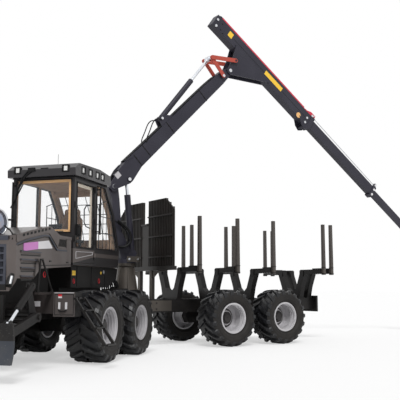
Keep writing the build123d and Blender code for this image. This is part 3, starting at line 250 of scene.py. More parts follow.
blackTones = (0.0085, 0.0078, 0.0078), (0.014, 0.013, 0.0128)
materialLooks = {
    "chassis": finish(paint, *blackTones, rough=0.28, gloss=0.18),
    "lockerPaint": finish(paint, *blackTones, gloss=0.12, zones=[(lockerFace, (0.088, 0.077, 0.074), 0.2),
                                                                 (lockerInner, (0.034, 0.029, 0.028), 0.0)]),
    "crane": finish(paint, (0.024, 0.023, 0.033), (0.034, 0.033, 0.045), rough=0.4, peel=0.015),
    "craneLinks": finish(paint, (0.42, 0.075, 0.05), (0.36, 0.06, 0.045), scuff=0.2),
    "craneStrip": finish(paint, (0.56, 0.045, 0.075), (0.50, 0.04, 0.065)),
    "hoodPaint": finish(paint, pewter, (0.105, 0.090, 0.086), metal=0.8, rough=0.25, coat=0.15, dust=0.08),
    # a bluish grey; on the louvres' lips it serves as a painted highlight
    "hoodShade": finish(paint, (0.060, 0.064, 0.082), (0.048, 0.051, 0.066), metal=0.4, rough=0.3, coat=0.1),
    "cabPaint": finish(paint, (0.017, 0.0155, 0.016), (0.022, 0.020, 0.021), rough=0.3,
                       zones=[(lowerDoor, pewter, 0.7), (cabLining, lining, 0.0)]),
    "roofPaint": finish(paint, (0.023, 0.0215, 0.024), (0.028, 0.026, 0.029), rough=0.2, coat=0.25, peel=0.03),
    "stakePaint": finish(paint, (0.056, 0.049, 0.044), (0.070, 0.062, 0.056), scuff=0.12),
    "boardPaint": finish(paint, (0.011, 0.0093, 0.0083), (0.019, 0.016, 0.014), rough=0.25),
    "castPaint": finish(paint, *blackTones, gloss=0.12, rough=0.5),
    "bladePaint": finish(paint, (0.032, 0.037, 0.047), (0.045, 0.050, 0.060), scuff=0.3,
                         zones=[(bladeUpper, (0.011, 0.010, 0.010), 0.0)]),
    "bronze": finish(paint, (0.085, 0.074, 0.064), (0.052, 0.046, 0.040), metal=0.3),
    "rim": finish(paint, (0.52, 0.51, 0.525), (0.46, 0.45, 0.465), metal=0.3, rough=0.28, dust=0.1),
    "hubDark": finish(paint, (0.045, 0.042, 0.042), (0.032, 0.030, 0.030), rough=0.45),
    "silver": finish(polished, (0.70, 0.71, 0.73), (0.58, 0.59, 0.61), cloud=9.0, rough=0.25),
    "whiteTrim": finish(paint, (0.74, 0.73, 0.74), (0.66, 0.65, 0.67), metal=0.2),
    # the tread's faint blue tint is a painted sheen on the dark rubber
    "tyre": finish(rubber, (0.0070, 0.0073, 0.0090), (0.015, 0.0145, 0.0145), cloud=3.0, rough=0.33, gloss=0.34),
    "sidewall": finish(rubber, (0.017, 0.0158, 0.0152), (0.027, 0.0245, 0.0225), cloud=4.0, rough=0.45),
    # the mirror's blue and warm patches are a painted reflection
    "mirrorPaintedReflection": finish(polished, (0.24, 0.30, 0.42), (0.46, 0.34, 0.26), cloud=3.2, rough=0.08),
    "hose": finish(rubber, (0.0065, 0.0065, 0.007), (0.012, 0.012, 0.013), cloud=9.0, rough=0.4),
    "chromeRod": finish(polished, (0.78, 0.80, 0.84), (0.66, 0.68, 0.72), cloud=5.0, rough=0.10),
    "upholstery": finish(rubber, (0.20, 0.125, 0.075), (0.27, 0.18, 0.115), cloud=14.0, rough=0.75),
    "lining": finish(rubber, lining, (0.24, 0.155, 0.10), cloud=5.0, rough=0.7),
    "window": finish(glazing, (0.62, 0.70, 0.78), (0.70, 0.76, 0.82), cloud=0.8, rough=0.03, alpha=0.02),
    "lampHousing": finish(paint, *blackTones, gloss=0.12, peel=0.3),
    "lens": finish(glazing, (0.90, 0.90, 0.88), (0.74, 0.75, 0.74), cloud=25.0, rough=0.08, alpha=0.8),
    "redLens": finish(glazing, (0.55, 0.03, 0.02), (0.4, 0.02, 0.02), cloud=20.0, rough=0.1, alpha=0.85),
    "magenta": finish(paint, (0.60, 0.24, 0.55), (0.54, 0.20, 0.49)),
    "amber": finish(paint, (0.80, 0.47, 0.20), (0.74, 0.42, 0.17)),
    "cream": finish(paint, (0.72, 0.64, 0.52), (0.66, 0.58, 0.46)),
    "yellow": finish(paint, (0.86, 0.56, 0.06), (0.80, 0.50, 0.05)),
    "red": finish(paint, (0.62, 0.03, 0.04), (0.54, 0.03, 0.035)),
}
materials = {name: maker(name, look) for name, (maker, look) in materialLooks.items()}
print("materials made", len(materials))

nodeMaterials = {
    "hoodPaint": ["hood"], "hoodShade": ["grille"], "cabPaint": ["cab_shell", "door"], "roofPaint": ["cab_roof"],
    "stakePaint": ["stakes"], "boardPaint": ["headboard"], "bronze": ["crane_base"], "lockerPaint": ["lockers"],
    "castPaint": ["engine", "front_bogies", "rear_bogies"], "bladePaint": ["blade"],
    "crane": ["pillar", "main_boom", "lift_barrel", "stick", "tilt_barrel", "extension_1", "extension_2", "tip_link",
              "rotator", "grapple_frame", "jaw_left", "jaw_right"],
    "craneLinks": ["boom_link", "stick_link"], "window": ["cab_glass", "door_glass"], "lampHousing": ["work_lamps"],
    "upholstery": ["seat"],
    "chromeRod": ["lift_rod", "tilt_rod", "blade_rods", "steer_rod_left", "steer_rod_right"],
}
materialOf = {node: name for name, members in nodeMaterials.items() for node in members}
for name, piece in nodes.items():
    kind = "tyre" if name.startswith("tyre") else "rim" if name.startswith("rim") else materialOf.get(name, "chassis")
    piece.data.materials.clear()
    piece.data.materials.append(materials[kind])
print("CAD nodes dressed", len(nodes))


# Making pieces
def makeMesh(name, points, faces, material, smooth=False):
    mesh = bpy.data.meshes.new(name)
    mesh.from_pydata(points, [], faces)
    mesh.validate()
    mesh.polygons.foreach_set("use_smooth", [smooth] * len(mesh.polygons))
    mesh.materials.append(materials[material])
    piece = bpy.data.objects.new(name, mesh)
    bpy.context.scene.collection.objects.link(piece)
    return piece


class Form:
    # points and faces of one piece, drawn in the frame of its place
    def __init__(self, place=frontPlace):
        self.place = place
        self.points = []
        self.faces = []

    def add(self, points, faces):
        first = len(self.points)
        self.points += [self.place @ Vector(point) for point in points]
        self.faces += [[first + corner for corner in face] for face in faces]
        return self

    def box(self, low, high):
        corners = [(x, y, z) for x in (low[0], high[0]) for y in (low[1], high[1]) for z in (low[2], high[2])]
        sides = [(0, 1, 3, 2), (4, 6, 7, 5), (0, 4, 5, 1), (2, 3, 7, 6), (0, 2, 6, 4), (1, 5, 7, 3)]
        return self.add(corners, sides)

    def prism(self, outline, axis, low, high):
        # an outline in the other two axes, in order, drawn out along this one
        count = len(outline)
        rows = []
        for level in (low, high):
            for first, second in outline:
                point = [first, second]
                point.insert("xyz".index(axis), level)
                rows.append(point)
        faces = [list(range(count)), list(range(2 * count - 1, count - 1, -1))]
        faces += [(side, (side + 1) % count, count + (side + 1) % count, count + side) for side in range(count)]
        return self.add(rows, faces)

    def rod(self, start, end, radius, sides=14, far=None):
        start, end = Vector(start), Vector(end)
        line = (end - start).normalized()
        across = line.cross(Vector((0, 0, 1)) if abs(line.z) < 0.9 else Vector((1, 0, 0))).normalized()
        other = line.cross(across)
        points = []
        for middle, reach in ((start, radius), (end, far or radius)):
            for side in range(sides):
                angle = 2 * math.pi * side / sides
                points.append(middle + reach * (math.cos(angle) * across + math.sin(angle) * other))
        faces = [list(range(sides)), list(range(2 * sides - 1, sides - 1, -1))]
        faces += [(side, (side + 1) % sides, sides + (side + 1) % sides, sides + side) for side in range(sides)]
        return self.add(points, faces)

    def chain(self, route, radius, closed=False, sides=8):
        # straight bars from point to point
        for start, end in zip(route, route[1:] + (route[:1] if closed else [])):
            self.rod(start, end, radius, sides)
        return self

    def loop(self, axis, level, low, high, radius):
        # four bars around a rectangle that faces this axis
        route = []
        for first, second in ((low[0], low[1]), (high[0], low[1]), (high[0], high[1]), (low[0], high[1])):
            corner = [first, second]
            corner.insert("xyz".index(axis), level)
            route.append(corner)
        return self.chain(route, radius, True)

    def turned(self, profile, sides=32):
        # a closed outline of (radius, distance along y), turned about y
        count = len(profile)
        points = []
        for step in range(sides):
            angle = 2 * math.pi * step / sides
            points += [(radius * math.cos(angle), y, radius * math.sin(angle)) for radius, y in profile]
        faces = []
        for step in range(sides):
            after = (step + 1) % sides
            for row in range(count):
                beside = (row + 1) % count
                faces.append((step * count + row, after * count + row, after * count + beside, step * count + beside))
        return self.add(points, faces)

    def make(self, name, material, body, bevel=0.0, smooth=False, slot=None):
        piece = makeMesh(name, self.points, self.faces, material, smooth)
        tidy = bmesh.new()
        tidy.from_mesh(piece.data)
        bmesh.ops.recalc_face_normals(tidy, faces=tidy.faces)
        tidy.to_mesh(piece.data)
        tidy.free()
        if bevel:
            edge = piece.modifiers.new("bevel", "BEVEL")
            edge.width = bevel
            edge.segments = 2
            edge.limit_method = "ANGLE"
            edge.angle_limit = math.radians(40)
        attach(piece, body)
        return piece


def hose(name, route, radius, body, place=None):
    # a smooth line that bends towards the points of its route
    curve = bpy.data.curves.new(name, "CURVE")
    curve.dimensions = "3D"
    curve.bevel_depth = radius
    curve.bevel_resolution = 3
    curve.resolution_u = 8
    spline = curve.splines.new("NURBS")
    spline.points.add(len(route) - 1)
    for point, at in zip(spline.points, route):
        point.co = (*((place or Matrix()) @ Vector(at)), 1.0)
    spline.use_endpoint_u = True
    spline.order_u = 3
    curve.materials.append(materials["hose"])
    piece = bpy.data.objects.new(name, curve)
    bpy.context.scene.collection.objects.link(piece)
    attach(piece, body)
    return piece


def sideSpan(side, near, far):
    # the same distances from the middle on either side, low before high
    return sorted((side * near, side * far))


def oval(middle, halfX, halfZ, steps=16):
    # an oval's points in the plane that faces y
    x, y, z = middle
    angles = [2 * math.pi * step / steps for step in range(steps)]
    return [(x + halfX * math.cos(angle), y, z + halfZ * math.sin(angle)) for angle in angles]


def wheelPlace(label):
    # a wheel's own frame: its axle is y, pointing out of the machine
    joint = joints[f"spin_{label}"]
    outward = Vector(joint["axis"]) * (1 if "left" in label else -1)
    forward = Vector(joint["axis"]).cross(Vector((0, 0, 1)))
    turn = Matrix((forward, outward, Vector((0, 0, 1)))).transposed().to_4x4()
    return Matrix.Translation(joint["pos_m"]) @ turn


def armPlace(pin, elevation):
    # an arm's own frame: x along the arm towards the rear, y square to it and up, z to the machine's left
    rise = math.radians(elevation)
    turn = Matrix(((-math.cos(rise), math.sin(rise), 0), (0, 0, 1), (math.sin(rise), math.cos(rise), 0)))
    return Matrix.Translation(pin) @ turn.to_4x4()


# Tyres
tyreLook = {"segments": 104, "lugs": 19, "lugHalf": 0.040, "lugSweep": 0.30, "sidewallRows": 12}
# radius and distance from the middle, from a bead over the sidewall's ridges to the crown
tyreProfile = [(0.338, 0.276), (0.352, 0.284), (0.366, 0.282), (0.372, 0.296), (0.384, 0.296), (0.390, 0.308),
               (0.43, 0.330), (0.438, 0.337), (0.450, 0.337), (0.458, 0.338), (0.50, 0.346), (0.56, 0.338),
               (0.60, 0.315), (0.612, 0.26), (0.615, 0.13), (0.617, 0.0)]
# along a lug: distance from the middle, outer radius, foot radius, share of the sweep
lugSections = [(0.010, 0.667, 0.605, 0.0), (0.14, 0.667, 0.603, 0.42), (0.26, 0.664, 0.597, 0.78),
               (0.325, 0.640, 0.585, 0.93), (0.348, 0.575, 0.540, 1.0)]


def tyreMesh(label):
    profile = tyreProfile + [(radius, -y) for radius, y in reversed(tyreProfile[:-1])]
    body = Form(wheelPlace(label)).turned(profile, tyreLook["segments"])
    for side in (1, -1):
        for lug in range(tyreLook["lugs"]):
            start = 2 * math.pi * (lug + (0.25 if side > 0 else 0.75)) / tyreLook["lugs"]
            points = []
            faces = []
            for y, top, foot, share in lugSections:
                angle = start - tyreLook["lugSweep"] * share
                for radius, half in ((foot, 1.35), (top, 0.85), (top, -0.85), (foot, -1.35)):
                    at = angle + tyreLook["lugHalf"] * half / radius
                    points.append((radius * math.cos(at), side * y, radius * math.sin(at)))
            for section in range(len(lugSections) - 1):
                low = section * 4
                for corner in range(3):
                    faces.append((low + corner, low + corner + 1, low + corner + 5, low + corner + 4))
            last = len(points) - 4
            faces += [(3, 2, 1, 0), (last, last + 1, last + 2, last + 3)]
            body.add(points, faces)
    piece = makeMesh(f"treadedTyre_{label}", body.points, body.faces, "tyre")
    piece.data.materials.append(materials["sidewall"])
    rows = len(profile)
    for face in range(tyreLook["segments"] * rows):
        if min(face % rows, rows - 2 - face % rows) < tyreLook["sidewallRows"]:
            piece.data.polygons[face].material_index = 1
    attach(piece, f"wheel_{label}")
    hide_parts(f"tyre_{label}")


wheelLabels = [f"{end}_{side}_{step}" for end in ("front", "rear") for side in ("left", "right") for step in (1, 2)]
for label in wheelLabels:
    tyreMesh(label)
print("tyres made", len(wheelLabels))


# Wheels: rolled beads in the rim, a dark hub with its bolts, and a valve
rimLook = {"bolts": 12, "circle": 0.196, "bolt": 0.012, "frontDisc": 0.084, "rearDisc": -0.066, "bore": 0.323}


def wheelTrim(label):
    place = wheelPlace(label)
    body = f"wheel_{label}"
    disc = rimLook["frontDisc"] if label.startswith("front") else rimLook["rearDisc"]
    bore = rimLook["bore"]
    beads = Form(place)
    for y, depth in ((0.268, 0.010), (0.205, 0.014), (0.150, 0.020)):
        if y > disc + 0.03:
            beads.turned([(bore + 0.002, y - 0.012), (bore - depth, y - 0.006), (bore - depth, y + 0.006),
                          (bore + 0.002, y + 0.012)], 48)
    beads.turned([(0.338, 0.299), (0.357, 0.299), (0.357, 0.304), (0.338, 0.304)], 48)
    beads.make(f"rimBeads_{label}", "rim", body, slot="rim")
    hub = Form(place)
    hub.turned([(0.02, disc - 0.004), (0.225, disc - 0.004), (0.225, disc + 0.012), (0.21, disc + 0.016),
                (0.02, disc + 0.016)], 40)
    hub.turned([(0.01, disc + 0.05), (0.150, disc + 0.05), (0.142, disc + 0.085), (0.100, disc + 0.095),
                (0.092, disc + 0.118), (0.01, disc + 0.122)], 32)
    for step in range(rimLook["bolts"]):
        angle = 2 * math.pi * step / rimLook["bolts"]
        x, z = rimLook["circle"] * math.cos(angle), rimLook["circle"] * math.sin(angle)
        hub.rod((x, disc + 0.01, z), (x, disc + 0.036, z), rimLook["bolt"], 6)
        hub.rod((x * 0.60, disc + 0.08, z * 0.60), (x * 0.60, disc + 0.098, z * 0.60), 0.008, 6)
    hub.rod((0.27, disc - 0.002, 0.05), (0.27, disc + 0.05, 0.05), 0.006, 8)
    hub.make(f"hub_{label}", "hubDark", body, slot="rim")


for label in wheelLabels:
    wheelTrim(label)
print("wheels trimmed")


# Hood: coloured bands, crest with its row of holes, light line, rear vent, nose and grille slots; painted shade fills
# the holes, slots and grille cells, and the louvres get painted shadows and highlights
hoodLook = {"half": 0.65, "proud": 0.008, "crest": 0.014, "holes": 8, "holeStep": 0.122, "slots": 7, "slotStep": 0.043,
            "nose": 5.11, "cell": 0.17167, "slats": 5, "slatStep": 0.025}
# louvres: height in the hood and distances from its nose, in mm
louvres = ((242, 658, 280), (382, 726, 276), (515, 795, 272), (650, 922, 268))


def hoodTrim():
    half, proud, crest, nose = (hoodLook[key] for key in ("half", "proud", "crest", "nose"))
    shapes = {kind: Form() for kind in ("magenta", "whiteTrim", "hoodPaint", "hoodShade", "chassis", "silver", "hose")}

    def onSides(kind, outline, height):
        for side in (1, -1):
            shapes[kind].prism(outline, "y", *sideSpan(side, half, half + height))

    onSides("magenta", [(4.763, 2.102), (4.30, 2.155), (4.293, 2.03), (4.755, 1.971)], proud)
    onSides("whiteTrim", [(4.30, 2.155), (3.93, 2.198), (3.80, 2.085), (3.80, 2.066), (4.293, 2.03)], proud)
    # the raised crest that follows the hood's top line down to the vent
    onSides("hoodPaint", [(4.99, 2.115), (4.99, 2.225), (4.50, 2.338), (3.872, 2.448), (3.525, 2.318), (3.07, 2.314),
                          (3.07, 2.262), (3.545, 2.262), (3.60, 2.085), (3.915, 2.318), (4.094, 2.318),
                          (4.595, 2.214), (4.965, 2.105)], crest)
    onSides("hoodShade", [(4.975, 2.086), (4.595, 2.190), (4.094, 2.290), (3.915, 2.290), (3.62, 2.062), (3.25, 2.062),
                          (3.25, 2.036), (3.63, 2.036), (3.925, 2.264), (4.085, 2.266), (4.585, 2.166),
                          (4.985, 2.060)], crest + 0.003)
    onSides("chassis", [(4.95, 2.060), (4.585, 2.158), (4.085, 2.258), (3.93, 2.256), (3.72, 2.090), (3.74, 2.090),
                        (3.935, 2.240), (4.08, 2.242), (4.58, 2.142), (4.94, 2.046)], 0.003)
    # each hole is a black patch of painted shade
    for count in range(hoodLook["holes"]):
        drop = count * hoodLook["holeStep"]
        x, z = 4.815 - drop, 2.233 + drop * 0.199  # along the crest's slope
        onSides("hose", [(x, z - 0.024), (x - 0.066, z - 0.011), (x - 0.066, z + 0.031), (x, z + 0.018)], crest + 0.003)
    # the vent's slots are black patches of painted shade
    for count in range(hoodLook["slots"]):
        x = 3.555 - count * hoodLook["slotStep"]
        onSides("hose", [(x, 2.118), (x, 2.248), (x - 0.021, 2.248), (x - 0.021, 2.118)], 0.005)
    onSides("hoodPaint", [(3.26, 2.100), (3.26, 2.262), (3.235, 2.262), (3.235, 2.085), (3.60, 2.085),
                          (3.60, 2.100)], 0.010)
    # parting line above the lower edge
    onSides("chassis", [(4.205, 1.742), (3.07, 1.790), (3.07, 1.806), (4.20, 1.758)], 0.003)
    for height, start, end in louvres:
        # painted shadow as a dark strip under each louvre, and a painted highlight along its lip
        level, x0, x1 = 1.32 + height / 1000, nose - start / 1000, nose - end / 1000
        onSides("chassis", [(x0 + 0.01, level - 0.046), (x1 - 0.01, level - 0.052), (x1 - 0.01, level - 0.076),
                            (x0 + 0.01, level - 0.066)], 0.003)
        onSides("hoodShade", [(x0, level - 0.008), (x1, level - 0.008), (x1, level + 0.010), (x0, level + 0.010)],
                crest + 0.0025)
    shapes["hoodShade"].box((nose - 0.05, -0.57, 2.132), (nose + 0.002, 0.57, 2.205))
    shapes["chassis"].box((nose - 0.026, -0.545, 1.335), (nose - 0.012, 0.545, 1.437))
    for row in range(5):
        for column in range(6):
            # painted shade as a dark plate deep in each cell, and slats in front of it
            y, z = -0.515 + column * hoodLook["cell"], 1.46 + row * 0.116
            shapes["chassis"].box((nose - 0.060, y + 0.016, z + 0.016), (nose - 0.055, y + 0.156, z + 0.100))
            for slat in range(hoodLook["slats"]):
                left = y + 0.032 + slat * hoodLook["slatStep"]
                shapes["hoodShade"].box((nose - 0.050, left, z + 0.014), (nose - 0.030, left + 0.008, z + 0.102))
    for side in (1, -1):
        # lamps in the nose's lower corners with their bright strips, and latches along the lower edge
        shapes["chassis"].rod((nose - 0.09, side * 0.60, 1.585), (nose + 0.010, side * 0.62, 1.40), 0.052, 20)
        shapes["silver"].rod((nose - 0.035, side * 0.645, 1.555), (nose + 0.022, side * 0.650, 1.43), 0.020, 12)
        for x in (3.20, 3.85):
            shapes["chassis"].box((x - 0.03, side * half - 0.010, 1.825), (x + 0.03, side * half + 0.010, 1.850))
    for kind, shape in shapes.items():
        shape.make(f"hoodTrim_{kind}", kind, "hood", 0.002 if kind in ("hoodPaint", "silver") else 0.0)


hoodTrim()
print("hood trimmed")


# Mirror on a bent stem at the nose
noseMirror = {"middle": (4.98, 0.27, 2.436), "radius": 0.235, "facing": 0.30}


def noseMirrorForm():
    place = frontPlace @ Matrix.Translation(noseMirror["middle"]) @ Matrix.Rotation(-noseMirror["facing"], 4, "Z")
    radius = noseMirror["radius"]
    shell = Form(place)
    shell.turned([(0.005, -0.045), (0.6 * radius, -0.040), (0.9 * radius, -0.020), (radius, 0.0), (radius, 0.012),
                  (0.90 * radius, 0.012), (0.90 * radius, 0.002), (0.005, 0.002)], 40)
    shell.make("noseMirrorShell", "silver", "hood", smooth=True, slot="chrome_rod")
    # the glass carries a painted reflection in blue and warm patches
    glass = Form(place).turned([(0.004, 0.002), (0.89 * radius, 0.002), (0.89 * radius, 0.008), (0.004, 0.016)], 40)
    glass.make("noseMirrorGlass", "mirrorPaintedReflection", "hood", smooth=True, slot="chrome_rod")
    stem = Form()
    stem.chain([(4.99, 0.60, 2.21), (4.99, 0.53, 2.30), (4.97, 0.46, 2.34), (4.95, 0.40, 2.38)], 0.013)
    stem.rod((4.99, 0.60, 2.19), (4.99, 0.60, 2.24), 0.035)
    stem.make("noseMirrorStem", "chassis", "hood", slot="chassis")


noseMirrorForm()

# Cab: seals, warm inner frames, wiper, hinges, guard bars, lamp lenses and a lining
cabLook = {"side": 0.66, "seal": 0.011, "glass": 2.992, "windscreen": ((-0.595, 2.42), (0.595, 3.45)),
           "lampLevel": 3.635, "frontLamps": (0.520, -0.515), "sideLamps": (1.872, 2.118, 2.447, 2.763),
           "sideLampReach": 0.7305}
sideRoute = [(1.98, 3.44), (1.59, 3.44), (1.21, 2.93), (0.94, 2.23), (0.98, 2.16), (1.98, 2.16)]


def windowTrim():
    side, seal = cabLook["side"], cabLook["seal"]
    seals = Form().loop("x", cabLook["glass"], *cabLook["windscreen"], seal)
    for y in (side + 0.002, -side - 0.002):
        seals.chain([(x, y, z) for x, z in sideRoute], seal, True)
    seals.loop("y", -side - 0.002, (2.08, 2.15), (2.88, 3.45), seal)
    seals.chain([(3.0, -0.67, 3.49), (3.0, 0.67, 3.49), (1.52, 0.67, 3.49)], 0.012)  # gutter under the roof
    seals.make("windowSeals", "hose", "front_frame", slot="chassis")
    guard = Form()
    for x, top in ((1.535, 3.127), (1.358, 3.191), (1.175, 3.05), (1.06, 2.78)):
        for y in (0.60, -0.60):
            guard.rod((x, y, 2.16), (x, y, top), 0.007, 8)
    for y in (0.605, -0.605):
        for start, end, radius in (((1.76, 3.09), (1.34, 3.22), 0.010), ((1.72, 2.85), (1.10, 2.85), 0.009),
                                   ((1.72, 2.50), (0.97, 2.50), 0.009), ((1.745, 2.16), (1.745, 3.09), 0.010)):
            guard.rod((start[0], y, start[1]), (end[0], y, end[1]), radius, 8)
    for level in (2.55, 2.75, 2.95, 3.15, 3.32):
        # bars that follow the rear window's bend
        x = (0.80 + (level - 2.18) * 0.387 if level < 2.93 else 1.09 + (level - 2.93) * 0.7193) + 0.052
        guard.rod((x, -0.52, level), (x, 0.52, level), 0.008, 8)
    for y in (-0.35, -0.12, 0.12, 0.35):
        guard.chain([(0.94, y, 2.40), (1.144, y, 2.93), (1.475, y, 3.40)], 0.008)
    guard.make("windowGuards", "chassis", "front_frame", slot="chassis")


def cabInside():
    frameIn = Form()
    for low, high in (((2.915, -0.575, 3.395), (2.945, 0.575, 3.455)), ((2.915, 0.515, 2.44), (2.945, 0.575, 3.40)),
                      ((2.915, -0.10, 2.425), (2.945, 0.575, 2.475))):
        frameIn.box(low, high)
    frameIn.make("windscreenFrame", "amber", "front_frame", 0.006, slot="body")
    ceiling = Form()
    ceiling.prism([(2.90, 3.495), (1.56, 3.495), (1.50, 3.40), (1.62, 3.43), (2.88, 3.47)], "y", -0.605, 0.605)
    ceiling.box((1.47, -0.60, 3.30), (1.56, 0.60, 3.46))  # over the rear window
    for y in (-0.60, 0.53):
        ceiling.prism([(0.93, 2.30), (1.06, 2.30), (1.24, 2.91), (1.63, 3.45), (1.50, 3.45), (1.14, 2.93)],
                      "y", y, y + 0.07)
    ceiling.box((0.90, -0.60, 2.20), (1.10, 0.60, 2.40))
    ceiling.make("cabLining", "lining", "front_frame", 0.012, slot="upholstery")
    console = Form()
    console.prism([(2.90, 2.30), (2.70, 2.36), (2.62, 2.30), (2.72, 1.90), (2.90, 1.90)], "y", -0.20, 0.20)
    console.rod((2.62, 0.0, 2.32), (2.52, 0.0, 2.46), 0.018)
    console.box((2.46, -0.14, 2.44), (2.50, 0.14, 2.63))
    for y in (-0.40, 0.40):
        # levers beside the seat
        console.rod((2.20, y, 2.12), (2.20, y, 2.42), 0.020)
        console.rod((2.20, y, 2.42), (2.22, y, 2.53), 0.028, 12, 0.020)
    console.make("cabConsole", "hose", "front_frame", 0.004, slot="chassis")


def cabOutside():
    side, level = cabLook["side"], cabLook["lampLevel"]
    wiper = Form()
    wiper.chain([(3.125, -0.152, 3.645), (3.10, -0.345, 3.51), (3.03, -0.512, 3.307), (3.018, -0.594, 3.153)], 0.017)
    wiper.chain([(3.125, -0.239, 3.651), (3.10, -0.40, 3.50), (3.03, -0.56, 3.25)], 0.014)
    wiper.rod((3.008, -0.44, 3.38), (3.008, -0.70, 2.92), 0.013, 6)
    wiper.box((3.095, -0.275, 3.60), (3.135, -0.13, 3.675))
    wiper.make("wiper", "hose", "front_frame", slot="chassis")
    hinges = Form()
    for z in (2.95, 2.30):
        hinges.box((2.91, side, z - 0.06), (2.985, side + 0.028, z + 0.06))
    for x in (2.05, 2.075):
        for z in (3.33, 2.27):
            hinges.box((x - 0.03, side, z - 0.05), (x + 0.03, side + 0.022, z + 0.05))
    hinges.make("cabHinges", "chassis", "front_frame", 0.004, slot="chassis")
    trim = Form().box((3.09, -0.016, 3.585), (3.106, 0.145, 3.665))
    for y in cabLook["frontLamps"]:
        trim.loop("x", 3.104, (y - 0.075, level - 0.065), (y + 0.075, level + 0.065), 0.008)
    for x in cabLook["sideLamps"]:
        for y in (cabLook["sideLampReach"], -cabLook["sideLampReach"]):
            trim.loop("y", y, (x - 0.075, level - 0.070), (x + 0.075, level + 0.070), 0.009)
    trim.make("roofTrim", "hose", "front_frame", slot="chassis")
    lenses = Form()
    for y in (-0.515, 0.515):
        lenses.box((3.094, y - 0.036, 3.592), (3.101, y + 0.036, 3.682))
    for x in cabLook["sideLamps"]:
        for low, high in ((0.722, 0.729), (-0.729, -0.722)):
            lenses.box((x - 0.034, low, 3.592), (x + 0.034, high, 3.682))
    lenses.make("lampLenses", "lens", "front_frame", 0.003, slot="lamp")
    aerial = Form()
    aerial.rod((2.60, 0.088, 3.76), (2.60, 0.088, 3.80), 0.018, 12, 0.008)
    aerial.rod((2.60, 0.088, 3.80), (2.60, 0.090, 4.02), 0.004, 6)
    aerial.make("aerial", "hose", "front_frame", slot="chassis")


def doorTrim():
    side = cabLook["side"]
    dark = Form().loop("y", side + 0.002, (2.12, 2.15), (2.88, 3.40), cabLook["seal"])
    dark.box((2.795, side, 2.34), (2.905, side + 0.040, 2.58))
    dark.chain([(2.85, side + reach, z) for reach, z in ((0.03, 2.56), (0.075, 2.52), (0.075, 2.40), (0.03, 2.36))],
               0.016)
    dark.make("doorHandle", "hose", "door", 0.004, slot="chassis")
    grab = Form()  # a loop inside the pane
    grab.chain([(2.20, 0.615, 3.02), (2.34, 0.60, 3.00), (2.40, 0.585, 2.92), (2.40, 0.585, 2.66), (2.34, 0.60, 2.58),
                (2.20, 0.615, 2.56)], 0.012)
    grab.make("doorGrab", "hose", "door", slot="chassis")
    inner = Form()
    for low, high in (((2.80, 2.17), (2.86, 3.39)), ((2.14, 2.17), (2.20, 3.39)), ((2.14, 3.33), (2.86, 3.39))):
        inner.box((low[0], 0.600, low[1]), (high[0], 0.622, high[1]))
    inner.make("doorInnerFrame", "cream", "door", 0.004, slot="body")
    panel = Form()
    panel.chain([(2.88, side, 2.055), (2.14, side, 2.078), (2.14, side, 2.03), (2.88, side, 1.925)], 0.0065, True)
    panel.make("doorPanel", "rim", "door", slot="body")


windowTrim()
cabInside()
cabOutside()
doorTrim()
print("cab trimmed")


# Seat: crowned cushions with sewn channels, on a shell with arm rests
seatLook = {"steps": 18, "square": 0.42, "channel": 0.010, "channels": 3, "lean": -98}
# a pad's middle, half sizes, the axis that its channels cross, and whether it leans back
seatPads = (((2.02, 0, 2.13), (0.245, 0.245, 0.078), 1, False), ((1.81, 0, 2.52), (0.34, 0.245, 0.070), 0, True),
            ((1.755, 0, 2.90), (0.11, 0.17, 0.058), 1, True))


def cushion(form, place, size, along):
    # a crowned closed form whose sides pull in towards its corners, with channels across one axis
    steps = seatLook["steps"]
    around = 2 * steps

    def bent(value):
        return math.copysign(abs(value) ** seatLook["square"], value)

    points = []
    for row in range(steps + 1):
        tilt = math.pi * (row / steps - 0.5)
        for column in range(around):
            turn = math.pi * column / steps
            point = [bent(math.cos(tilt)) * bent(math.cos(turn)), bent(math.cos(tilt)) * bent(math.sin(turn)),
                     bent(math.sin(tilt))]
            sewn = abs(math.cos(math.pi * seatLook["channels"] * point[along] / 2)) ** 8
            crease = 1 - seatLook["channel"] / size[2] * sewn
            points.append(place @ Vector((point[0] * size[0], point[1] * size[1], point[2] * size[2] * crease)))
    faces = []
    for row in range(steps):
        for column in range(around):
            beside = (column + 1) % around
            low, high = row * around, (row + 1) * around
            faces.append((low + column, low + beside, high + beside, high + column))
    form.add(points, faces)


def seatForm():
    pads = Form()
    for middle, size, along, leans in seatPads:
        place = Matrix.Translation(middle)
        if leans:
            place = place @ Matrix.Rotation(math.radians(seatLook["lean"]), 4, "Y")
        cushion(pads, place, size, along)
    piece = pads.make("seatPads", "upholstery", "seat", smooth=True, slot="upholstery")
    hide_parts("seat")
    shell = Form()
    shell.box((1.80, -0.22, 2.035), (2.22, 0.22, 2.07))
    shell.prism([(1.72, 2.12), (1.79, 2.10), (1.70, 2.80), (1.66, 2.79)], "y", -0.20, 0.20)
    for side in (1, -1):
        low, high = sideSpan(side, 0.25, 0.33)
        shell.box((1.86, low, 2.285), (2.28, high, 2.345))
        shell.rod((1.90, side * 0.26, 2.12), (1.90, side * 0.27, 2.29), 0.022)
        shell.rod((2.24, side * 0.29, 2.345), (2.26, side * 0.29, 2.45), 0.020, 12, 0.028)
    shell.make("seatShell", "hose", "seat", 0.008, slot="chassis")


seatForm()
print("seat made")


# Lockers and belly: latches, edges, tie rings, fuel cap and coloured marks
lockerLook = {"face": 3.94, "latches": (0.90, 1.03), "seams": (1.35, 2.0, 2.65), "ring": 0.0045,
              "rings": ((2.783, 1.502), (1.647, 1.514))}


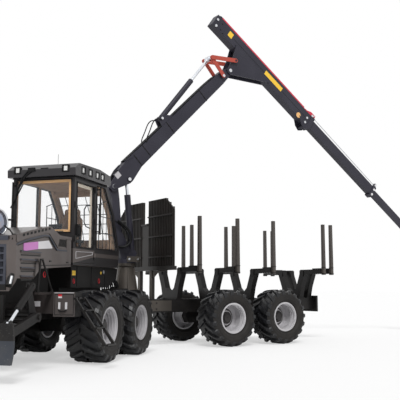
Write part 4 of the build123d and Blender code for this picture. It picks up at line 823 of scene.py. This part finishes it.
def lockerTrim():
    face = lockerLook["face"]
    steel = Form()
    for y in lockerLook["latches"]:
        steel.box((face - 0.002, y - 0.019, 1.005), (face + 0.014, y + 0.019, 1.125))
    for side in (1, -1):
        steel.chain([(face, side * 0.80, 1.285), (face, side * 1.17, 1.285)], 0.006)
    steel.make("lockerLatches", "whiteTrim", "front_frame", 0.003, slot="chrome_rod")
    dark = Form()
    dark.chain([(face + 0.015, 0.885, 1.00), (face + 0.025, 0.92, 0.972), (face + 0.025, 1.01, 0.972),
                (face + 0.015, 1.045, 1.00)], 0.010)
    for side in (1, -1):
        dark.loop("x", face + 0.001, (side * 0.81, 0.91), (side * 1.165, 1.262), 0.005)
        low, high = sideSpan(side, 0.79, 1.18)
        dark.box((3.70, low, 1.299), (3.93, high, 1.303))
    for x in lockerLook["seams"]:
        dark.box((x - 0.012, -0.588, 1.39), (x + 0.012, 0.588, 1.79))
    dark.make("lockerEdges", "hose", "front_frame", slot="chassis")
    rings = Form()
    for x, z in lockerLook["rings"]:
        rings.chain(oval((x, 0.583, z), 0.034, 0.046), lockerLook["ring"], True, 6)
    rings.chain(oval((4.05, 0.655, 1.60), 0.036, 0.046), 0.006, True, 6)
    rings.make("tieRings", "red", "front_frame", slot="crane_links")
    marks = Form()
    marks.box((2.72, 0.579, 1.61), (2.86, 0.584, 1.70))
    marks.rod((1.555, 0.579, 1.68), (1.555, 0.585, 1.68), 0.032, 16)
    marks.make("bellyMarks", "yellow", "front_frame", slot="body")
    plates = Form().box((3.920, 0.40, 1.05), (3.928, 0.52, 1.14))
    plates.box((3.938, 0.875, 1.195), (3.944, 0.945, 1.225))
    plates.make("lockerPlates", "whiteTrim", "front_frame", slot="body")
    square = Form().box((3.938, 0.875, 1.225), (3.945, 0.945, 1.262))
    square.make("lockerSquare", "red", "front_frame", slot="crane_links")
    fuel = Form().rod((1.44, 0.575, 1.70), (1.44, 0.602, 1.70), 0.034, 20)
    fuel.make("fuelCap", "silver", "front_frame", 0.004, slot="chrome_rod")


lockerTrim()


# Blade and nose plate
bladeLook = {"halfEdge": 1.295, "ribs": (-1.22, -0.62, -0.2, 0.2, 0.62, 1.22)}


def bladeTrim():
    edge = Form()
    edge.prism([(6.072, 0.292), (6.112, 0.292), (6.082, 0.372), (6.056, 0.392)], "y", -bladeLook["halfEdge"],
               bladeLook["halfEdge"])
    edge.make("bladeEdge", "silver", "blade", 0.003, slot="chrome_rod")
    ribs = Form()
    for y in bladeLook["ribs"]:
        ribs.prism([(5.985, 0.42), (6.02, 0.36), (6.02, 0.80), (5.985, 0.82)], "y", y - 0.02, y + 0.02)
    ribs.box((5.94, -1.28, 0.845), (6.06, 1.28, 0.862))
    ribs.make("bladeRibs", "bladePaint", "blade", 0.004, slot="chassis")
    nose = Form()
    for y in (0.40, -0.40):
        nose.box((5.160, y - 0.09, 0.98), (5.175, y + 0.09, 1.10))
        for z in (1.0, 1.08):
            nose.rod((5.17, y, z), (5.195, y, z), 0.016, 6)
    nose.rod((5.15, 0, 0.90), (5.20, 0, 0.90), 0.06, 24, 0.05)
    nose.make("nosePlates", "bladePaint", "front_frame", 0.003, slot="chassis")


bladeTrim()
print("lockers and blade trimmed")


# Crane: raised red strip, hoses, pin caps, clamps and coloured marks, in the boom's and the stick's own frames
craneRest = {"boomRise": 45.0, "stickRise": -35.0}
boomPlace = armPlace(Vector(joints["boom_lift"]["pos_m"]), craneRest["boomRise"])
stickPlace = armPlace(Vector(joints["stick"]["pos_m"]), craneRest["stickRise"])
stickLook = {"stripTop": 1.066, "stripHalf": 0.118, "wall": 0.118, "bolt": 0.036, "cap": 0.038,
             "bolts": ((-1.034, 0.70), (-1.09, 0.88), (2.80, 0.69), (2.79, 0.85), (2.91, 1.04)),
             "holes": ((-0.905, 0.90), (-0.86, 0.72), (-0.75, 0.69)),
             "caps": ((6.13, 0.72, 0.10), (6.13, 0.90, 0.10), (6.16, 1.10, 0.04))}
boomLook = {"clamps": ((3.644, 0.19), (2.25, 0.21), (1.30, 0.21), (0.95, 0.20)), "hose": 0.013,
            "hoses": (-0.075, -0.045, -0.015, 0.015, 0.045, 0.075),
            "pins": ((0, 0, 0.170, 0.05), (0.424, -0.141, 0.180, 0.042), (2.24, 0.35, 0.105, 0.034),
                     (4.532, 0.035, 0.190, 0.04), (4.836, 0, 0.162, 0.048))}


def stickTrim():
    wall, half = stickLook["wall"], stickLook["stripHalf"]
    strip = Form(stickPlace)
    strip.box((-1.00, 1.015, -half), (2.55, stickLook["stripTop"], half))
    for low, high in ((0.020, 0.068), (-0.068, -0.020)):  # the telescope's pipe slides between them
        strip.prism([(2.55, 1.02), (2.55, 1.075), (2.72, 1.10), (2.85, 1.165), (3.05, 1.165), (3.05, 1.02)],
                    "z", low, high)
    strip.make("stickStrip", "craneStrip", "stick", 0.004, slot="crane_links")
    bracket = Form(stickPlace)
    for w in (-0.10, 0.07):
        bracket.prism([(-1.14, 1.015), (-1.04, 1.075), (-0.90, 1.075), (-0.84, 1.015)], "z", w, w + 0.03)
    bracket.make("stickTail", "crane", "stick", 0.003, slot="crane")
    marks = Form(stickPlace)
    marks.box((-0.62, 0.775, 0.1205), (-0.47, 0.935, 0.123))
    marks.box((0.905, 0.80, 0.1205), (1.632, 0.93, 0.123))
    marks.make("stickMarks", "yellow", "stick", slot="crane_links")
    disc = Form(stickPlace).rod((2.506, 0.70, 0.1205), (2.506, 0.70, 0.124), 0.080, 24)
    disc.make("stickDisc", "amber", "stick", slot="crane_links")
    steel = Form(stickPlace)
    for u, v in stickLook["bolts"]:
        steel.rod((u, v, wall), (u, v, wall + 0.024), stickLook["bolt"], 14)
    for side in (1, -1):
        steel.rod((3.00, 1.12, side * 0.03), (3.00, 1.12, side * 0.08), 0.022, 12)
    steel.make("stickBolts", "silver", "stick", slot="chrome_rod")
    dark = Form(stickPlace)
    # dark discs of painted shade stand in for the holes
    for u, v in stickLook["holes"]:
        dark.rod((u, v, wall), (u, v, wall + 0.0045), 0.020, 12)
    for side in (1, -1):
        low, high = sideSpan(side, 0.119, 0.1225)
        dark.box((-0.40, 0.835, low), (2.85, 0.843, high))  # weld line along the side
    dark.make("stickSeamsAndHoleShade", "hose", "stick", slot="chassis")


def extensionTrim():
    mouth = Form(stickPlace)
    mouth.box((6.05, 0.66, -0.10), (6.19, 1.02, 0.10))
    mouth.box((6.12, 0.98, -0.04), (6.20, 1.16, 0.04))
    mouth.make("extensionMouth", "crane", "extension_1", 0.004, slot="crane")
    caps = Form(stickPlace)
    for u, v, w in stickLook["caps"]:
        for side in (1, -1):
            caps.rod((u, v, side * (w - 0.002)), (u, v, side * (w + 0.018)), stickLook["cap"], 14)
    caps.make("extensionCaps", "whiteTrim", "extension_1", 0.002, slot="chrome_rod")
    pipe = Form(stickPlace).rod((3.08, 1.12, 0.0), (6.14, 1.10, 0.0), 0.012, 10)
    pipe.make("telescopePipe", "silver", "extension_1", slot="chrome_rod")


def boomTrim():
    clamps = Form(boomPlace)
    for u, top in boomLook["clamps"]:
        for side in (1, -1):
            low, high = sideSpan(side, 0.113, 0.120)
            clamps.box((u - 0.010, -0.145, low), (u + 0.010, top, high))
        for v in (-0.04, 0.10):
            clamps.rod((u, v, 0.115), (u, v, 0.132), 0.012, 6)
    clamps.make("boomClamps", "chassis", "main_boom", slot="chassis")
    caps = Form(boomPlace)
    for u, v, w, radius in boomLook["pins"]:
        for side in (1, -1):
            caps.rod((u, v, side * (w - 0.02)), (u, v, side * (w + 0.012)), radius, 18)
    caps.make("boomPins", "silver", "main_boom", 0.004, slot="chrome_rod")
    plate = Form(boomPlace).box((0.19, 0.06, 0.1545), (0.33, 0.19, 0.158))
    plate.make("boomPlate", "rim", "main_boom", slot="rim")
    for count, offset in enumerate(boomLook["hoses"]):
        route = [(u, v, offset) for u, v in ((0.66, 0.245), (1.5, 0.228), (1.95, 0.222), (2.7, 0.218), (3.7, 0.205),
                                             (4.1, 0.195), (4.35, 0.175))]
        hose(f"boomHose_{count}", route, boomLook["hose"], "main_boom", boomPlace)
    route = [(1.45, 0.20, 0.125), (1.50, 0.27, 0.130), (1.70, 0.34, 0.130), (1.95, 0.46, 0.128), (2.12, 0.45, 0.122),
             (2.20, 0.33, 0.118)]
    hose("humpHose", route, 0.014, "main_boom", boomPlace)
    hose("humpHoseFar", [(u, v, -w) for u, v, w in route], 0.014, "main_boom", boomPlace)
    hose("seatHoseBoom", [(0.45, 0.17, 0.06), (0.30, 0.22, 0.06), (0.18, 0.22, 0.05), (0.10, 0.13, 0.04)], 0.016,
         "main_boom", boomPlace)


stickTrim()
extensionTrim()
boomTrim()
print("crane trimmed")


# Rear frame: headboard ribs and posts, bolts, collars, lamps, and the hoses at the pillar
rearLook = {"boardX": 2.40, "boardRibs": 16, "ribStep": 0.0725, "bunks": (1.66, 0.55, -0.58, -2.30, -2.58),
            "stakeY": 1.206, "baseX": 2.95, "baseBolts": 18, "baseRibs": 6}


def boardTrim():
    boardX = rearLook["boardX"]
    ribs = Form(rearPlace)
    for side in (1, -1):
        for count in range(rearLook["boardRibs"]):
            y = side * (0.185 + count * rearLook["ribStep"])
            over = max(0.0, abs(y) - 0.94)  # the board's corners slope down
            ribs.box((boardX + 0.029, y - 0.010, 1.88), (boardX + 0.046, y + 0.010, 3.44 - over * 0.81))
    ribs.box((boardX + 0.029, -0.15, 2.86), (boardX + 0.06, 0.15, 2.90))
    ribs.make("boardRibs", "boardPaint", "rear_frame", slot="racks")
    posts = Form(rearPlace)
    for side in (1, -1):
        posts.box((boardX + 0.028, side * 0.28 - 0.052, 1.12), (boardX + 0.040, side * 0.28 + 0.052, 1.79))
        posts.prism([(side * 0.34, 1.60), (side * 0.34, 1.775), (side * 0.95, 1.775), (side * 0.55, 1.735)], "x",
                    boardX - 0.02, boardX + 0.02)
    posts.make("boardPosts", "bronze", "rear_frame", 0.003, slot="racks")


def rearTrim():
    bolts = Form(rearPlace)
    for bunkX in rearLook["bunks"]:
        for side in (1, -1):
            for z in (1.79, 1.86):
                for x in (-0.055, 0.055):
                    bolts.rod((bunkX + x, side * 1.165, z), (bunkX + x, side * 1.176, z), 0.012, 6)
            bolts.box((bunkX - 0.10, side * 0.30 - 0.05, 1.111), (bunkX + 0.10, side * 0.30 + 0.05, 1.125))
    for x in (2.30, 2.45, 2.60, 2.75):
        for side in (1, -1):
            for z in (1.02, 0.88):
                bolts.rod((x, side * 0.329, z), (x, side * 0.352, z), 0.018, 6)
    bolts.make("rearBolts", "chassis", "rear_frame", slot="chassis")
    collars = Form(rearPlace)
    for x in rearLook["bunks"]:
        for side in (1, -1):
            if (x, side) != (-0.58, -1):
                y = side * rearLook["stakeY"]
                for low, high in ((1.74, 1.76), (1.90, 1.915)):
                    collars.box((x - 0.047, y - 0.047, low), (x + 0.047, y + 0.047, high))
    collars.make("stakeCollars", "chassis", "rear_frame", 0.003, slot="chassis")
    beam = Form(rearPlace)
    lights = Form(rearPlace)
    for side in (1, -1):
        low, high = sideSpan(side, 0.330, 0.338)
        beam.box((1.88, low, 0.83), (3.00, high, 1.08))
        lights.box((-2.798, side * 0.39 - 0.05, 1.052), (-2.784, side * 0.39 + 0.05, 1.118))
    beam.make("beamPlates", "bronze", "rear_frame", 0.004, slot="chassis")
    lights.make("rearLights", "redLens", "rear_frame", 0.003, slot="lamp")


def pillarTrim():
    plates = Form(rearPlace)
    plates.prism([(2.74, 1.985), (2.76, 1.975), (3.05, 1.975), (3.07, 1.985), (3.07, 2.095), (3.05, 2.105),
                  (2.76, 2.105), (2.74, 2.095)], "y", 0.270, 0.286)
    plates.make("slewBar", "bronze", "pillar", 0.003, slot="bronze")
    pins = Form(rearPlace)
    for x in (2.79, 3.02):
        pins.rod((x, 0.285, 2.04), (x, 0.305, 2.04), 0.026, 14)
        pins.rod((x, 0.18, 2.04), (x, 0.272, 2.04), 0.020, 10)
    pins.make("slewPins", "silver", "pillar", slot="chrome_rod")
    casting = Form(rearPlace)
    baseX = rearLook["baseX"]
    for step in range(rearLook["baseBolts"]):
        angle = 2 * math.pi * step / rearLook["baseBolts"]
        x, y = baseX + 0.3015 * math.cos(angle), 0.3015 * math.sin(angle)
        casting.rod((x, y, 1.228), (x, y, 1.250), 0.014, 6)
    for step in range(rearLook["baseRibs"]):
        angle = 2 * math.pi * step / rearLook["baseRibs"] + 0.3
        x, y = math.cos(angle), math.sin(angle)
        casting.rod((baseX + 0.29 * x, 0.29 * y, 1.22), (baseX + 0.19 * x, 0.19 * y, 1.84), 0.022, 8)
    casting.make("baseRibs", "bronze", "rear_frame", slot="bronze")
    for count, (y, reach) in enumerate(((0.25, 0.0), (0.20, 0.05), (0.15, -0.05))):
        route = [(3.30 + reach, y, 2.92), (3.12 + reach, y + 0.02, 2.82), (2.97 + reach, y + 0.03, 2.62),
                 (2.98 + reach, y + 0.03, 2.42), (3.12, y, 2.30), (3.24, y - 0.04, 2.33)]
        hose(f"pillarHose_{count}", route, 0.030 if count == 0 else 0.018, "pillar", rearPlace)


boardTrim()
rearTrim()
pillarTrim()
print("rear frame trimmed")


# Frames' joint: hoses over the pivot, a valve block with its hoses, and a mark on the cab's rear corner
pivotLook = {"pivotHoses": (-0.14, -0.06, 0.06, 0.14), "valveHoses": (0.20, 0.12, 0.04, -0.06, -0.16),
             "valves": 5, "valveStep": 0.064}


def pivotTrim():
    for count, y in enumerate(pivotLook["pivotHoses"]):
        route = [(3.10, y, 1.16), (3.25, y, 1.24), (3.42, y, 1.28), (3.46, y, 1.20), (3.46, y, 1.14)]
        hose(f"pivotHose_{count}", route, 0.016, "rear_frame", rearPlace)
    valves = Form(rearPlace)
    valves.box((3.02, -0.25, 1.14), (3.42, 0.25, 1.36))
    for step in range(pivotLook["valves"]):
        y = -0.128 + step * pivotLook["valveStep"]
        valves.rod((3.10, y, 1.36), (3.10, y, 1.43), 0.020, 10)
        valves.rod((3.25, y, 1.36), (3.25, y, 1.40), 0.022, 8)
    valves.make("valveBlock", "castPaint", "rear_frame", 0.004, slot="cast")
    for count, y in enumerate(pivotLook["valveHoses"]):
        route = [(3.25, y, 1.38), (3.27, y, 1.50), (3.36, y * 1.1, 1.56), (3.46, y * 1.2, 1.48),
                 (3.47, y * 1.2, 1.30), (3.44, y, 1.16)]
        hose(f"valveHose_{count}", route, 0.019, "rear_frame", rearPlace)
    mark = Form().box((0.93, 0.50, 1.98), (0.945, 0.62, 2.10))
    mark.make("rearMark", "magenta", "front_frame", slot="body")


pivotTrim()
print("pivot trimmed")


# Floor, light and camera
studioLook = {"floor": 0.95, "sky": 0.55, "sun": 2.05, "sunAngle": 18.0, "sunFrom": (0.35, 0.60, 0.72), "veil": 0.5}


def studio():
    bpy.ops.mesh.primitive_plane_add(size=400.0, location=(0, 0, 0))
    floor = bpy.context.object
    floor.name = "floor"
    material, tree, shader, place = newMaterial("floor")
    grey = (studioLook["floor"],) * 3
    feed(tree, shader, Base_Color=place.noise(0.4).mix(grey, grey), Roughness=0.9)
    seen = Sock(tree, tree.nodes.new("ShaderNodeLightPath").outputs["Is Camera Ray"])
    glow = tree.nodes.new("ShaderNodeEmission")
    blend = tree.nodes.new("ShaderNodeMixShader")
    tree.links.new((seen * studioLook["veil"]).socket, blend.inputs[0])
    tree.links.new(shader.outputs[0], blend.inputs[1])
    tree.links.new(glow.outputs[0], blend.inputs[2])
    tree.links.new(blend.outputs[0], tree.nodes["Material Output"].inputs[0])
    floor.data.materials.append(material)
    world = bpy.data.worlds.new("studio")
    world.use_nodes = True
    bpy.context.scene.world = world
    tree = world.node_tree
    path = tree.nodes.new("ShaderNodeLightPath")
    back = tree.nodes["Background"]
    back.inputs["Color"].default_value = (1, 1, 1, 1)
    seen = Sock(tree, path.outputs["Is Camera Ray"])
    for kind in ("Is Glossy Ray", "Is Transmission Ray"):
        seen = seen.math("MAXIMUM", Sock(tree, path.outputs[kind]))
    strength = studioLook["sky"] + seen * (1.0 - studioLook["sky"])
    tree.links.new(strength.socket, back.inputs["Strength"])
    light = bpy.data.lights.new("sun", "SUN")
    light.energy = studioLook["sun"]
    light.angle = math.radians(studioLook["sunAngle"])
    lamp = bpy.data.objects.new("sun", light)
    lamp.rotation_euler = (-Vector(studioLook["sunFrom"])).to_track_quat("-Z", "Y").to_euler()
    bpy.context.scene.collection.objects.link(lamp)


def photoCamera():
    # fitted to the wheels of both frames: distances in metres from the rear frame's origin
    shot = {"from": (10.75, 14.57, 1.36), "toward": (-0.5628, -0.8266), "pitch": 7.28, "focal": 693.0, "image": 400.0}
    pitch = math.radians(shot["pitch"])
    flat = Vector((*shot["toward"], 0)).normalized() * math.cos(pitch)
    look = Vector((flat.x, flat.y, math.sin(pitch)))
    data = bpy.data.cameras.new("photoCamera")
    data.sensor_width = 36.0
    data.lens = data.sensor_width * shot["focal"] / shot["image"]
    camera = bpy.data.objects.new("photoCamera", data)
    camera.location = rearOrigin + Vector(shot["from"])
    camera.rotation_euler = look.to_track_quat("-Z", "Y").to_euler()
    bpy.context.scene.collection.objects.link(camera)
    bpy.context.scene.camera = camera


studio()
photoCamera()
bpy.context.scene.view_settings.view_transform = "Standard"
print("studio ready")
